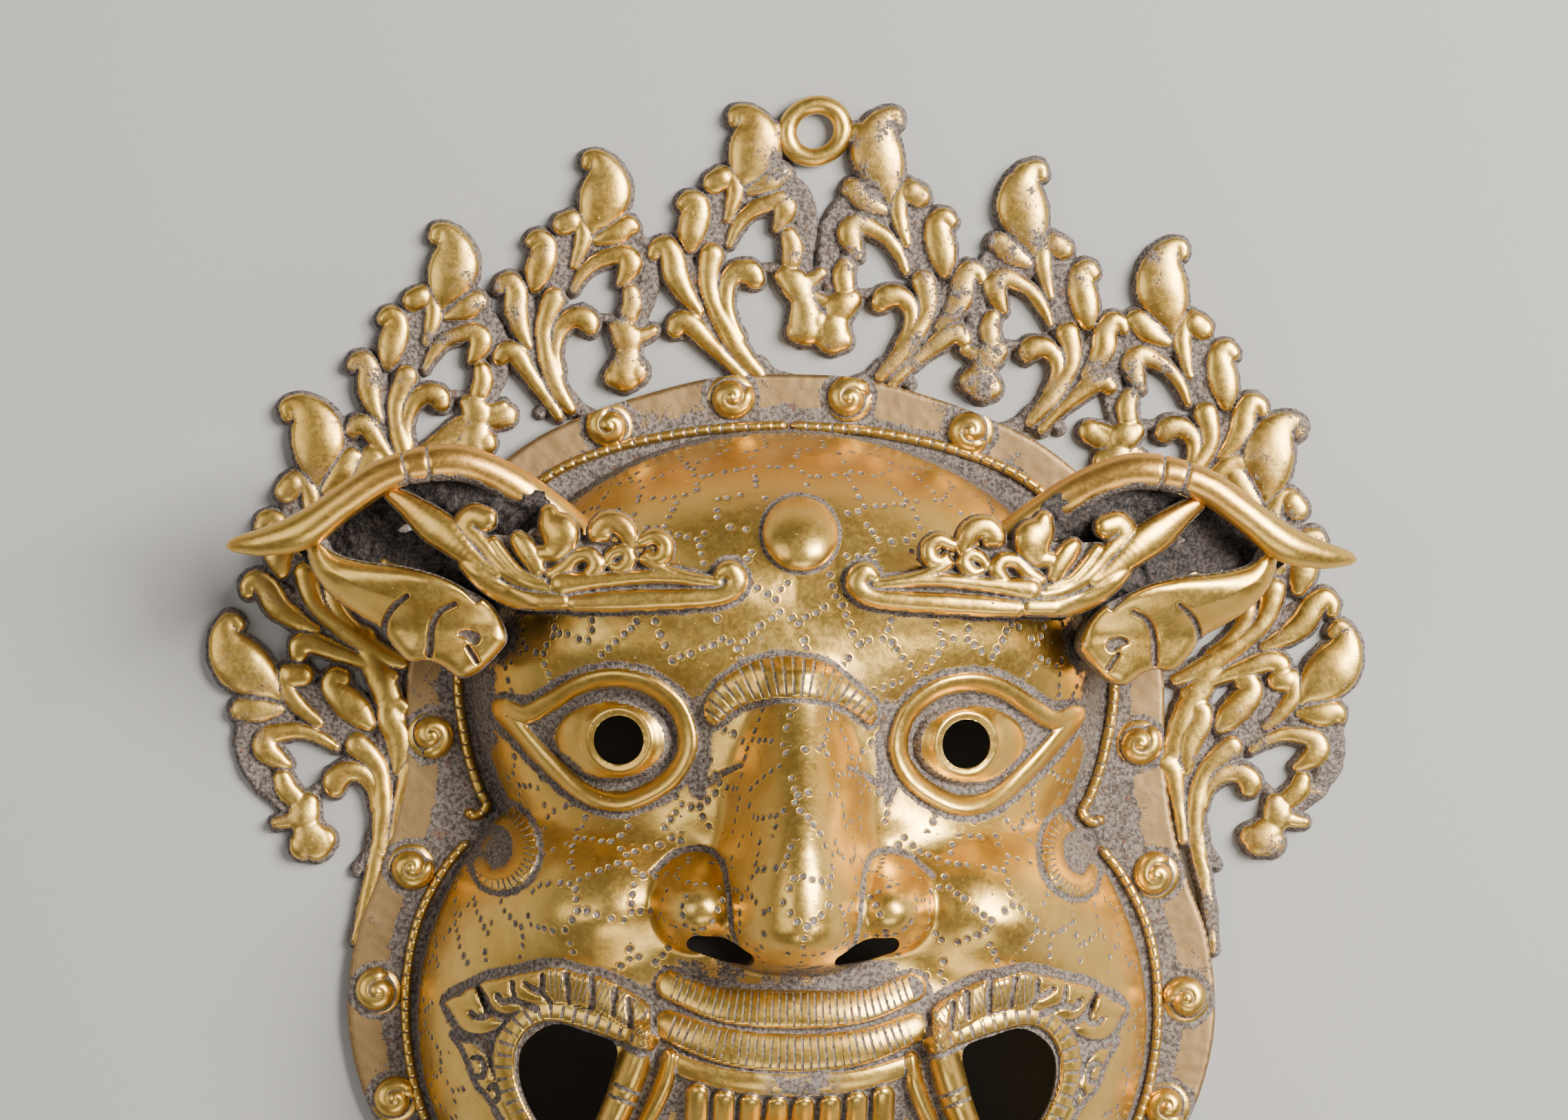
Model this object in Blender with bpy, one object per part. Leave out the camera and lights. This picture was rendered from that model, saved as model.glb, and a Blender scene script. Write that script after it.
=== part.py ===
"""A hollow cast brass temple mask: a horned guardian face inside a flat border band, with an
openwork crown of leaf plumes and a ring to hang it by. It lies on its back rim: +Z is the way
the face looks, +Y runs to the crown, and the origin is under the middle of the whole casting.
The free form is drawn in shares of the mask's height, and one unit is that height over 294.4."""

import math

import bmesh
import bpy
import numpy as np

MASK_HEIGHT = 0.2944
WALL = 0.003
CROWN_PLATE = 0.0026
BAND_PLATE = 0.0042
SIDE_PLATE = 0.0032
RING_BORE = 0.0086
RING_STOUT = 0.0040
PUPIL_BORE = 0.0112
BOSS_DIAMETER = 0.0104
ROPE_DIAMETER = 0.0030

UNIT = MASK_HEIGHT / 294.4
GRID_STEP = 1.3
BODY_TRIANGLES = 6900
SIDE_TRIANGLES = 480

HIGHEST = 147.2
CROWN_SHIFT = 5.1

PLUME_MID = (2.6, 25.3)
PLUME_TIP = (-5.8, 58.6)
PLUME = [
    [(-4.5, 56.0, 1.5), (-4.9, 57.4, 1.6), (-6.5, 57.2, 1.9), (-8.2, 55.1, 3.0), (-8.9, 52.0, 4.5),
     (-8.5, 48.8, 5.6), (-7.2, 45.6, 4.5), (-6.0, 42.4, 2.2), (-5.6, 40.0, 0.9)],
    [(-14.9, 41.4, 1.5), (-13.6, 41.8, 2.2), (-11.4, 40.3, 2.7), (-8.9, 39.1, 1.9), (-6.8, 38.3, 1.0)],
    [(1.1, 41.8, 2.4), (-0.4, 42.5, 2.5)],
    [(-1.2, 44.0, 1.2), (-2.9, 42.4, 1.6), (-3.5, 39.2, 1.8), (-2.8, 36.0, 1.5), (-1.5, 32.4, 0.9)],
    [(8.0, 37.8, 1.7), (6.8, 38.5, 2.0), (5.2, 37.2, 2.3), (5.8, 34.0, 3.1), (6.8, 30.8, 2.9),
     (7.5, 27.6, 1.5)],
    [(15.8, 27.0, 1.3), (15.0, 28.3, 1.6), (13.0, 28.4, 2.1), (11.8, 25.6, 2.5), (11.9, 22.0, 2.6),
     (10.9, 18.0, 2.0), (9.0, 13.8, 1.0)],
    [(15.2, 11.0, 1.8), (13.8, 12.3, 2.2), (11.6, 11.6, 2.2), (9.2, 8.0, 1.8), (6.6, 4.4, 1.4),
     (3.8, 0.6, 1.2), (1.8, -2.4, 1.0)],
    [(3.1, 24.7, 2.5), (4.4, 21.4, 2.2), (5.3, 17.4, 1.9), (5.0, 13.4, 1.8), (4.1, 9.4, 2.0),
     (2.8, 5.4, 2.0), (1.0, 2.0, 1.7), (-1.0, -0.8, 1.2)],
    [(-5.2, 18.3, 2.0), (-4.4, 19.9, 2.5), (-1.6, 20.4, 2.2), (1.1, 18.4, 1.9), (2.5, 15.0, 1.6),
     (2.7, 11.0, 1.3), (1.8, 7.4, 1.1)],
    [(-1.2, 26.6, 0.8), (-3.0, 29.8, 1.2), (-5.8, 32.8, 1.5), (-9.4, 34.4, 1.8), (-12.8, 35.0, 2.2),
     (-14.4, 33.0, 2.6), (-13.2, 30.0, 1.7), (-12.0, 28.3, 0.8)],
    [(-14.6, 26.4, 1.8), (-15.0, 23.8, 2.2), (-14.2, 21.2, 2.1)],
    [(-12.2, 18.0, 2.3), (-13.8, 15.8, 3.2), (-14.2, 12.8, 2.5), (-13.9, 9.6, 3.4), (-13.4, 7.2, 3.7)],
    [(-11.4, 6.8, 2.5), (-15.8, 8.0, 3.0)],
    [(-15.2, 15.8, 1.8), (-17.8, 16.6, 1.4), (-19.9, 17.6, 1.1)],
]
PLUME_WEB = [
    [(-5.8, 37.4, 2.6), (-1.8, 38.4, 3.4), (1.8, 35.4, 3.8), (1.4, 30.4, 3.6), (2.8, 26.9, 3.2)],
    [(9.6, 23.4, 2.4), (8.2, 18.4, 2.8), (7.6, 13.4, 2.6), (5.8, 7.4, 2.2)],
    [(-6.6, 20.6, 1.3), (-9.8, 20.0, 1.4), (-12.8, 19.7, 1.6)],
    [(-15.8, 38.8, 2.2), (-18.2, 34.4, 2.8), (-18.8, 28.4, 2.8), (-17.2, 22.4, 2.4), (-15.8, 17.4, 1.8)],
    [(-9.3, 43.9, 2.4), (-10.8, 37.4, 2.4), (-13.8, 37.4, 2.4)],
]

# Each plume: root, middle leaf top, hook top, and 1 for hooks to the right or -1 for the left.
PLUMES = [
    ((-8.2, 83.1), (-18.1, 110.5), (-12.5, 144.0), -1),
    ((22.1, 83.0), (30.3, 105.0), (22.9, 144.0), 1),
    ((-51.8, 74.6), (-54.4, 99.9), (-46.0, 133.2), -1),
    ((57.0, 72.9), (63.9, 93.4), (56.6, 132.2), 1),
    ((-86.5, 58.3), (-88.3, 81.4), (-81.0, 115.7), -1),
    ((88.5, 54.2), (96.3, 75.2), (89.5, 114.6), 1),
    ((-90.3, 14.7), (-111.1, 35.8), (-115.9, 75.0), -1),
    ((92.1, 13.0), (112.9, 34.6), (118.4, 73.9), 1),
    ((-93.3, -26.2), (-99.8, -4.3), (-129.7, 24.7), 1),
    ((95.3, -23.3), (104.3, -2.6), (129.8, 26.1), -1),
]
STEMS = [
    [(-93.3, -26.2, 2.2), (-96.8, -41.2, 1.8), (-99.0, -50.0, 1.2)],
    [(95.3, -23.3, 2.2), (98.4, -37.2, 1.8), (100.1, -50.2, 1.2)],
    [(-96.0, 62.0, 3.4), (-104.0, 50.0, 3.4), (-112.0, 42.0, 3.0)],
    [(98.0, 58.0, 3.4), (106.0, 48.0, 3.4), (114.0, 40.0, 3.0)],
    [(-98.0, 20.0, 3.2), (-92.0, 6.0, 3.4), (-89.0, -8.0, 2.6)],
    [(100.0, 18.0, 3.2), (93.0, 5.0, 3.4), (89.0, -8.0, 2.6)],
    [(-66.0, 72.0, 3.0), (-74.0, 70.0, 3.2), (-84.0, 62.0, 3.4)],
    [(70.0, 70.0, 3.0), (77.0, 66.0, 3.2), (87.0, 58.0, 3.4)],
    [(-10.0, 139.0, 3.0), (-4.0, 138.6, 2.4), (0.5, 138.6, 1.6)],
    [(20.0, 139.0, 3.0), (14.0, 138.6, 2.4), (9.7, 138.6, 1.6)],
]

BAND_EDGE = [
    (0.0, 82.5), (14.0, 82.0), (28.0, 79.0), (47.0, 72.6), (62.0, 64.6), (75.0, 51.6), (83.0, 33.0), (87.5, 14.0),
    (88.0, -4.0), (90.0, -20.0), (93.8, -34.0), (98.6, -47.0), (100.6, -66.0), (97.0, -84.0), (88.6, -101.0),
    (77.4, -117.0), (62.0, -130.5), (43.0, -140.5), (22.0, -146.0), (0.0, -147.2),
]
ROPE_TOP = [
    (0.0, 70.6), (20.0, 69.2), (40.0, 65.0), (55.0, 58.5), (66.0, 48.0), (73.0, 33.0), (76.0, 12.0), (74.0, -4.0),
    (71.0, -14.0), (69.0, -18.0), (71.5, -20.5), (74.5, -19.0),
]
ROPE_CHEEK = [
    (73.0, -26.0), (78.4, -32.7), (83.2, -41.5), (85.8, -50.0), (87.0, -60.0), (86.8, -72.0), (84.0, -86.0),
    (77.0, -102.0), (65.0, -117.0), (48.0, -129.5), (26.0, -137.2), (0.0, -139.8),
]
BOSSES = [
    (13.6, 77.0), (41.8, 69.9), (82.0, -2.1), (86.2, -32.6), (93.6, -61.3), (89.4, -86.2), (76.8, -109.2),
    (56.8, -127.0), (32.0, -138.6), (8.0, -143.2),
]

BROW = [
    [(-16.9, 36.3, 1.1), (-14.9, 36.9, 1.7), (-13.4, 34.7, 1.8), (-14.9, 32.3, 1.6), (-19.2, 30.9, 1.5),
     (-29.7, 30.3, 1.7), (-40.5, 29.8, 1.7), (-49.4, 29.2, 1.4)],
    [(-17.7, 34.1, 0.9), (-25.1, 35.0, 1.0), (-32.8, 35.3, 1.1), (-40.5, 34.7, 1.2), (-46.6, 34.1, 1.4),
     (-52.5, 33.5, 1.9)],
    [(-33.2, 40.3, 0.8), (-31.7, 39.4, 1.0), (-29.7, 40.3, 1.4), (-29.5, 42.7, 1.4), (-31.8, 44.3, 1.3),
     (-34.9, 43.1, 0.9)],
    [(-42.9, 44.3, 1.0), (-44.8, 44.9, 1.5), (-43.1, 47.2, 1.8), (-40.2, 47.2, 1.9), (-38.0, 45.2, 1.7),
     (-37.1, 42.1, 0.9)],
    [(-55.5, 49.2, 1.4), (-54.8, 46.6, 2.2), (-52.8, 44.6, 3.1), (-54.0, 40.9, 1.8), (-56.9, 40.3, 1.3)],
    [(-62.3, 43.4, 1.3), (-60.9, 41.8, 1.7), (-59.2, 39.1, 1.6), (-58.0, 36.9, 1.3)],
    [(-54.9, 35.7, 0.9), (-52.0, 37.2, 1.2), (-49.4, 39.7, 1.2), (-46.3, 40.0, 1.3), (-44.8, 37.8, 1.4),
     (-46.2, 36.0, 1.1)],
    [(-52.5, 29.5, 1.4), (-62.0, 30.0, 1.6), (-68.8, 33.2, 1.6), (-73.7, 37.8, 1.4)],
    [(-55.5, 32.3, 0.9), (-62.3, 34.1, 1.0), (-67.2, 38.1, 1.2), (-70.9, 42.4, 1.4), (-74.3, 45.8, 1.8),
     (-72.8, 48.4, 2.0), (-69.8, 47.7, 2.0)],
    [(-90.9, 53.2, 1.2), (-87.0, 50.6, 1.9), (-81.9, 46.6, 2.8), (-77.6, 43.6, 2.7), (-73.0, 39.5, 1.8),
     (-67.2, 35.4, 1.0)],
]
BROW_FIELD = [
    [(-17.0, 33.0, 2.6), (-30.0, 33.5, 4.6), (-45.0, 37.0, 7.0), (-58.0, 37.5, 6.6), (-70.0, 40.0, 4.4)],
]
EAR_EDGE = [
    (-108.2, 45.6), (-110.2, 42.0), (-109.4, 37.0), (-106.4, 32.0), (-102.5, 28.4), (-98.0, 25.6), (-93.5, 23.0),
    (-90.0, 18.4), (-86.6, 15.4), (-82.4, 15.6), (-79.2, 14.6), (-75.0, 11.8), (-71.0, 13.2), (-66.5, 17.5),
    (-64.5, 21.5), (-68.0, 28.5), (-74.0, 32.2), (-80.0, 35.0), (-88.0, 37.0), (-97.0, 38.0), (-103.4, 39.8),
    (-105.6, 42.8),
]
EAR = [
    [(-108.4, 43.6, 1.8), (-106.8, 38.0, 3.0), (-101.4, 33.6, 5.0), (-93.6, 30.4, 6.6), (-85.7, 28.6, 6.4),
     (-78.0, 26.4, 6.0), (-71.0, 23.0, 4.6)],
    [(-87.2, 21.6, 5.0), (-84.0, 18.6, 3.0)],
    [(-77.4, 19.6, 4.8), (-74.6, 15.6, 3.4)],
]
RESIDUE = [
    [(-60.0, 50.0, 4.5), (-72.0, 52.0, 5.0), (-84.0, 52.5, 4.0), (-96.0, 47.0, 4.5), (-108.0, 42.0, 3.5)],
    [(-70.0, 30.0, 4.0), (-80.0, 37.0, 3.6), (-92.0, 41.5, 3.6), (-104.0, 42.0, 3.2)],
    [(-66.0, 38.0, 5.0), (-68.0, 48.0, 4.5), (-66.0, 54.0, 4.0)],
]
HORN = [
    (-44.0, 40.0, 29.0, 4.2), (-50.0, 45.4, 36.5, 4.3), (-56.5, 50.6, 41.0, 4.3), (-65.6, 56.6, 44.0, 4.3),
    (-75.0, 60.2, 45.4, 4.2), (-84.0, 59.8, 45.6, 4.0), (-92.6, 57.2, 45.0, 3.8), (-101.6, 51.2, 43.6, 4.0),
    (-110.6, 44.8, 41.0, 4.2), (-119.0, 42.2, 38.0, 3.3), (-124.6, 41.5, 35.6, 2.1), (-128.8, 41.0, 33.6, 0.7),
]

NOSTRIL = [(-21.5, -46.2, 2.2), (-16.0, -47.4, 2.8), (-10.6, -49.4, 1.8)]
VOLUTE = [(-75.5, -29.0, 1.8), (-73.0, -24.0, 2.0), (-68.1, -20.4, 2.2), (-64.0, -20.4, 2.4), (-60.8, -23.4, 2.6),
          (-60.2, -28.4, 2.8), (-63.1, -32.6, 2.6), (-67.8, -33.8, 2.2), (-70.0, -31.2, 1.7)]
LID = [
    (-66.0, 4.8), (-60.2, 3.6), (-54.7, 6.6), (-48.1, 10.6), (-41.0, 12.4), (-33.2, 11.2), (-26.9, 6.8), (-24.1, 1.3),
    (-24.0, -4.3), (-27.5, -9.9), (-33.7, -14.0), (-39.8, -15.5), (-46.8, -13.6), (-54.5, -7.5), (-61.4, -0.6),
]
ROLL = [(-76.8, -61.0, 2.6), (-70.6, -58.6, 3.8), (-62.9, -57.3, 4.2), (-53.6, -56.1, 4.5), (-45.9, -57.1, 4.5),
        (-38.1, -60.5, 4.2), (-32.4, -64.0, 3.4), (-29.5, -69.7, 2.6)]
LEAVES = [
    [(-74.6, -61.5, 2.6), (-71.2, -64.6, 3.0), (-71.0, -68.6, 2.4)],
    [(-76.0, -70.5, 2.2), (-71.4, -74.4, 2.6), (-69.4, -80.0, 2.4), (-68.0, -87.0, 2.0)],
    [(-67.0, -84.0, 2.4), (-64.6, -92.0, 2.6), (-60.0, -100.0, 2.4), (-54.0, -106.0, 1.8)],
]
LIP_ROPE = [(-31.6, -68.0, 1.9), (-38.0, -66.2, 2.0), (-45.5, -63.9, 2.0), (-53.7, -62.4, 2.0), (-59.6, -64.6, 2.0),
            (-63.4, -69.7, 2.1), (-64.2, -76.5, 2.1), (-62.2, -83.7, 2.1), (-57.4, -92.0, 2.1), (-50.6, -99.4, 2.1),
            (-42.0, -104.6, 2.0), (-33.0, -107.4, 1.9)]
MOUTH_HOLE = [(-53.2, -65.6), (-45.6, -67.0), (-38.9, -69.9), (-40.2, -78.0), (-43.4, -87.0), (-47.4, -94.4),
              (-52.4, -92.6), (-57.6, -86.4), (-60.6, -78.6), (-59.8, -70.6)]
FANG = [(-33.0, -66.5, 2.6), (-34.0, -70.5, 3.2), (-36.2, -77.5, 3.4), (-39.2, -85.5, 3.2), (-43.0, -93.5, 2.7),
        (-47.5, -101.0, 1.8)]
SMALL_FANG = [(-27.0, -71.5, 1.4), (-28.2, -78.0, 1.9), (-31.6, -86.0, 1.7), (-34.8, -92.0, 1.2)]
LIP_BANDS = [
    [(-27.0, -56.0, 2.4), (-15.0, -59.8, 3.0), (0.0, -60.8, 3.2), (15.0, -59.8, 3.0), (27.0, -56.0, 2.4)],
    [(-27.5, -64.8, 2.6), (-15.0, -69.0, 3.2), (0.0, -70.4, 3.4), (15.0, -69.0, 3.2), (27.5, -64.8, 2.6)],
    [(-27.0, -72.8, 1.2), (-15.0, -76.4, 1.4), (0.0, -77.6, 1.5), (15.0, -76.4, 1.4), (27.0, -72.8, 1.2)],
]
LOWER_LIP = [(-34.0, -104.0, 2.4), (-24.0, -109.0, 3.4), (-12.0, -111.6, 3.8), (0.0, -112.4, 4.0),
             (12.0, -111.6, 3.8), (24.0, -109.0, 3.4), (34.0, -104.0, 2.4)]
TOOTH_PITCH = 5.95
TEETH_A_SIDE = 4
CREST = [(-19.0, 5.0, 3.0), (-14.8, 10.6, 4.0), (-8.0, 12.8, 4.8), (0.4, 13.6, 5.0), (8.6, 12.6, 4.8),
         (15.0, 9.6, 4.0), (18.2, 4.8, 3.0)]


def units(length):
    """A real length in metres as drawing units."""
    return length / UNIT


def mirrored(points):
    return [(-p[0],) + tuple(p[1:]) for p in points]


def both_sides(strokes):
    return list(strokes) + [mirrored(stroke) for stroke in strokes]


def smooth_path(points, steps=4):
    """A Catmull-Rom curve through control points of any width."""
    p = np.array(points, float)
    p = np.vstack([2 * p[0] - p[1], p, 2 * p[-1] - p[-2]])
    t = np.arange(steps)[:, None] / steps
    parts = []
    for a, b, c, d in zip(p[:-3], p[1:-2], p[2:-1], p[3:]):
        parts.append(0.5 * (2 * b + (c - a) * t + (2 * a - 5 * b + 4 * c - d) * t**2 + (3 * b - a - 3 * c + d) * t**3))
    parts.append(p[-2][None])
    return np.vstack(parts)


def loop_path(points, steps=4):
    """A closed smooth outline through control points."""
    p = np.array(points, float)
    n = len(p)
    t = np.arange(steps)[:, None] / steps
    parts = []
    for i in range(n):
        a, b, c, d = p[i - 1], p[i], p[(i + 1) % n], p[(i + 2) % n]
        parts.append(0.5 * (2 * b + (c - a) * t + (2 * a - 5 * b + 4 * c - d) * t**2 + (3 * b - a - 3 * c + d) * t**3))
    return np.vstack(parts)


def smooth_max(a, b, blend):
    return 0.5 * (a + b + np.sqrt((a - b) ** 2 + blend**2))


def smoothstep(low, high, value):
    t = np.clip((value - low) / (high - low), 0.0, 1.0)
    return t * t * (3 - 2 * t)


class Sheet:
    """A regular grid of points on which outlines and reliefs are drawn."""

    def __init__(self, x0, x1, y0, y1, step):
        self.xs = np.arange(round((x1 - x0) / step) + 1) * step + x0
        self.ys = np.arange(round((y1 - y0) / step) + 1) * step + y0
        self.x, self.y = np.meshgrid(self.xs, self.ys)

    def level(self, value=0.0):
        return np.full(self.x.shape, float(value))

    def window(self, x0, x1, y0, y1):
        columns = slice(*np.searchsorted(self.xs, (x0, x1)))
        rows = slice(*np.searchsorted(self.ys, (y0, y1)))
        return rows, columns

    def stroke(self, points, edge=None, relief=None, lift=1.0, grow=0.0, steps=4):
        """Draws a brush stroke: edge takes its signed distance, and relief its rounded height."""
        path = smooth_path(points, steps)
        path[:, 2] = np.maximum(path[:, 2], 0.3)
        for (ax, ay, ar), (bx, by, br) in zip(path[:-1], path[1:]):
            reach = max(ar, br) + grow + 4.0
            here = self.window(min(ax, bx) - reach, max(ax, bx) + reach, min(ay, by) - reach, max(ay, by) + reach)
            x = self.x[here] - ax
            y = self.y[here] - ay
            dx, dy = bx - ax, by - ay
            t = np.clip((x * dx + y * dy) / max(dx * dx + dy * dy, 1e-9), 0.0, 1.0)
            r = ar + (br - ar) * t
            d = np.hypot(x - dx * t, y - dy * t)
            if edge is not None:
                edge[here] = np.maximum(edge[here], r + grow - d)
            if relief is not None:
                relief[here] = np.maximum(relief[here], lift * np.sqrt(r) * np.clip(1 - (d / (r + 0.35)) ** 2, 0, 1) ** 0.6)

    def outline(self, loop):
        """The signed distance to a closed outline, positive inside."""
        loop = np.array(loop)
        nearest = self.level(1e9)
        crossings = np.zeros(self.x.shape, int)
        for (ax, ay), (bx, by) in zip(loop, np.roll(loop, -1, axis=0)):
            x = self.x - ax
            y = self.y - ay
            dx, dy = bx - ax, by - ay
            t = np.clip((x * dx + y * dy) / max(dx * dx + dy * dy, 1e-9), 0.0, 1.0)
            np.minimum(nearest, np.hypot(x - dx * t, y - dy * t), out=nearest)
            if ay != by:
                spans = (ay > self.y) != (by > self.y)
                crossings += spans & (self.x < ax + (self.y - ay) * dx / dy)
        return np.where(crossings % 2 == 1, nearest, -nearest)


def place_plume(points, plume):
    """Carries a stroke of the plume drawing to its place: a turn and a scale from root to tip,
    then a push that brings the middle leaf to its own mark."""
    root, mid, tip, hand = plume
    turn = complex(tip[0] - root[0], tip[1] - root[1]) / complex(hand * PLUME_TIP[0], PLUME_TIP[1])
    push = complex(*mid) - complex(*root) - turn * complex(hand * PLUME_MID[0], PLUME_MID[1])
    placed = []
    for x, y, r in points:
        if y < PLUME_MID[1]:
            share = float(smoothstep(0.0, PLUME_MID[1], y))
        else:
            share = float(smoothstep(PLUME_TIP[1], PLUME_MID[1], y))
        spot = complex(*root) + turn * complex(hand * x, y) + push * share
        placed.append((spot.real, spot.imag, r * min(abs(turn), 1.06)))
    return placed


def dome(x, y, centre, half_width, half_height, top, shell=0.0):
    """A rounded dome over an ellipse. A shell makes it smaller all round by that much."""
    a = half_width - shell
    b = half_height - shell
    q = np.sqrt((x / a) ** 2 + ((y - centre) / b) ** 2)
    inside = np.clip(1 - q**3.2, 0, None) ** 0.6
    return (top - shell) * np.where(q < 1, inside, (1 - q) * 2.2)


def bump(x, y, cx, cy, rx, ry, power=1.0):
    """A soft swelling that is 1 at its centre."""
    q = ((np.abs(x) - cx) / rx) ** 2 + ((y - cy) / ry) ** 2
    return np.exp(-(q**power))


def head(x, y, shell=0.0):
    """The broad form of the face with no carving: forehead, temples, cheeks and jaw."""
    upper = dome(x, y, 10.0, 73.5, 60.0, 56.0, shell)
    lower = dome(x, y, -66.5, 85.5, 73.0, 54.0, shell)
    return smooth_max(upper, lower, 5.0) - 1.0


def nose(x, y):
    """The nose as its own height, low outside its ridge."""
    down = smoothstep(22.0, -38.0, y)
    half = 16.0 + 2.5 * down
    top = 60.0 + 28.5 * down - 20.0 * smoothstep(-41.0, -56.0, y) ** 1.4
    ridge = top - 30.0 * (np.abs(x) / half) ** 2.4 - 60.0 * smoothstep(14.0, 34.0, y)
    under = 26.0 * smoothstep(-49.0, -57.0, y) + 90.0 * smoothstep(-54.0, -76.0, y)
    wing = 74.0 - 22.0 * (((np.abs(x) - 20.5) / 10.5) ** 2 + ((y + 38.5) / 10.0) ** 2) ** 1.2
    return smooth_max(ridge - under, wing, 2.5)


def carved_face(sheet):
    """The face's broad form, and its front with the carving that shows from a step away."""
    x, y = sheet.x, sheet.y
    face = head(x, y)
    face = face + 5.0 * bump(x, y, 34.0, 33.0, 24.0, 7.0)
    face = face - 9.5 * bump(x, y, 42.0, -1.0, 25.0, 16.0, 1.6)
    face = face + 13.0 * bump(x, y, 48.0, -36.0, 20.0, 15.0, 1.3)
    face = face + 8.0 * bump(x, y, 0.0, -70.0, 34.0, 18.0, 1.6)
    face = face - 6.0 * bump(x, y, 0.0, -96.0, 30.0, 12.0, 1.6)
    face = face + 15.0 * bump(x, y, 0.0, -124.0, 21.0, 8.5, 1.3)
    face = face - 4.0 * bump(x, y, 0.0, -116.0, 40.0, 2.5)
    face = smooth_max(face, nose(x, y), 4.0)

    mound = 8.8**2 - (x - 1.0) ** 2 - (y - 45.4) ** 2
    face = face + 0.75 * np.sqrt(np.clip(mound, 0, None))

    ball = 1 - ((np.abs(x) - 40.4) / 13.0) ** 2 - ((y + 1.6) / 9.6) ** 2
    face = face + 6.0 * np.clip(ball, 0, None) ** 0.5
    iris = np.hypot(np.abs(x) - 39.2, y + 1.6)
    face = face + 0.9 * np.exp(-(((iris - 7.2) / 1.0) ** 2))

    form = face
    relief = sheet.level()
    lid = loop_path([(a, b, 1.8) for a, b in LID])
    for side in (1, -1):
        sheet.stroke([(side * a, b, r) for a, b, r in list(lid) + [lid[0]]], relief=relief, lift=2.2, steps=1)
    sheet.stroke(CREST, relief=relief, lift=1.3)
    for stroke in both_sides([VOLUTE, ROLL] + LEAVES):
        sheet.stroke(stroke, relief=relief, lift=2.0)
    for stroke in both_sides([LIP_ROPE]):
        sheet.stroke(stroke, relief=relief, lift=2.2)
    for stroke in LIP_BANDS + [LOWER_LIP]:
        sheet.stroke(stroke, relief=relief, lift=1.5)
    for number in range(TEETH_A_SIDE):
        across = (number + 0.5) * TOOTH_PITCH
        sag = 0.006 * across**2
        for side in (1, -1):
            sheet.stroke([(side * across, -81.6 + sag, 1.9), (side * across, -92.5 + sag, 2.2)], relief=relief, lift=3.0)
            sheet.stroke([(side * across, -98.0 + sag, 2.2), (side * across, -105.5 + sag, 1.9)], relief=relief, lift=2.8)
    for stroke in both_sides([SMALL_FANG]):
        sheet.stroke(stroke, relief=relief, lift=2.6)
    face = face + relief
    tusk = sheet.level()
    for stroke in both_sides([FANG]):
        sheet.stroke(stroke, relief=tusk, lift=3.4)
    return form, face + tusk


def hollow_back(sheet, front):
    """The inside of the shell: the wall's thickness under the broad form, and open at the back."""
    rows, columns = np.gradient(front, sheet.ys, sheet.xs)
    lean = np.sqrt(1 + np.clip(rows**2 + columns**2, 0, 5.0))
    wall = units(WALL)
    return np.minimum(head(sheet.x, sheet.y, 1.15 * wall) + 3.0, smoothed(front - wall * lean, 6))


def smoothed(field, times):
    for _ in range(times):
        padded = np.pad(field, 1, mode="edge")
        field = np.minimum(field, (padded[:-2, 1:-1] + padded[2:, 1:-1] + padded[1:-1, :-2] + padded[1:-1, 2:]) / 4)
    return field


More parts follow.
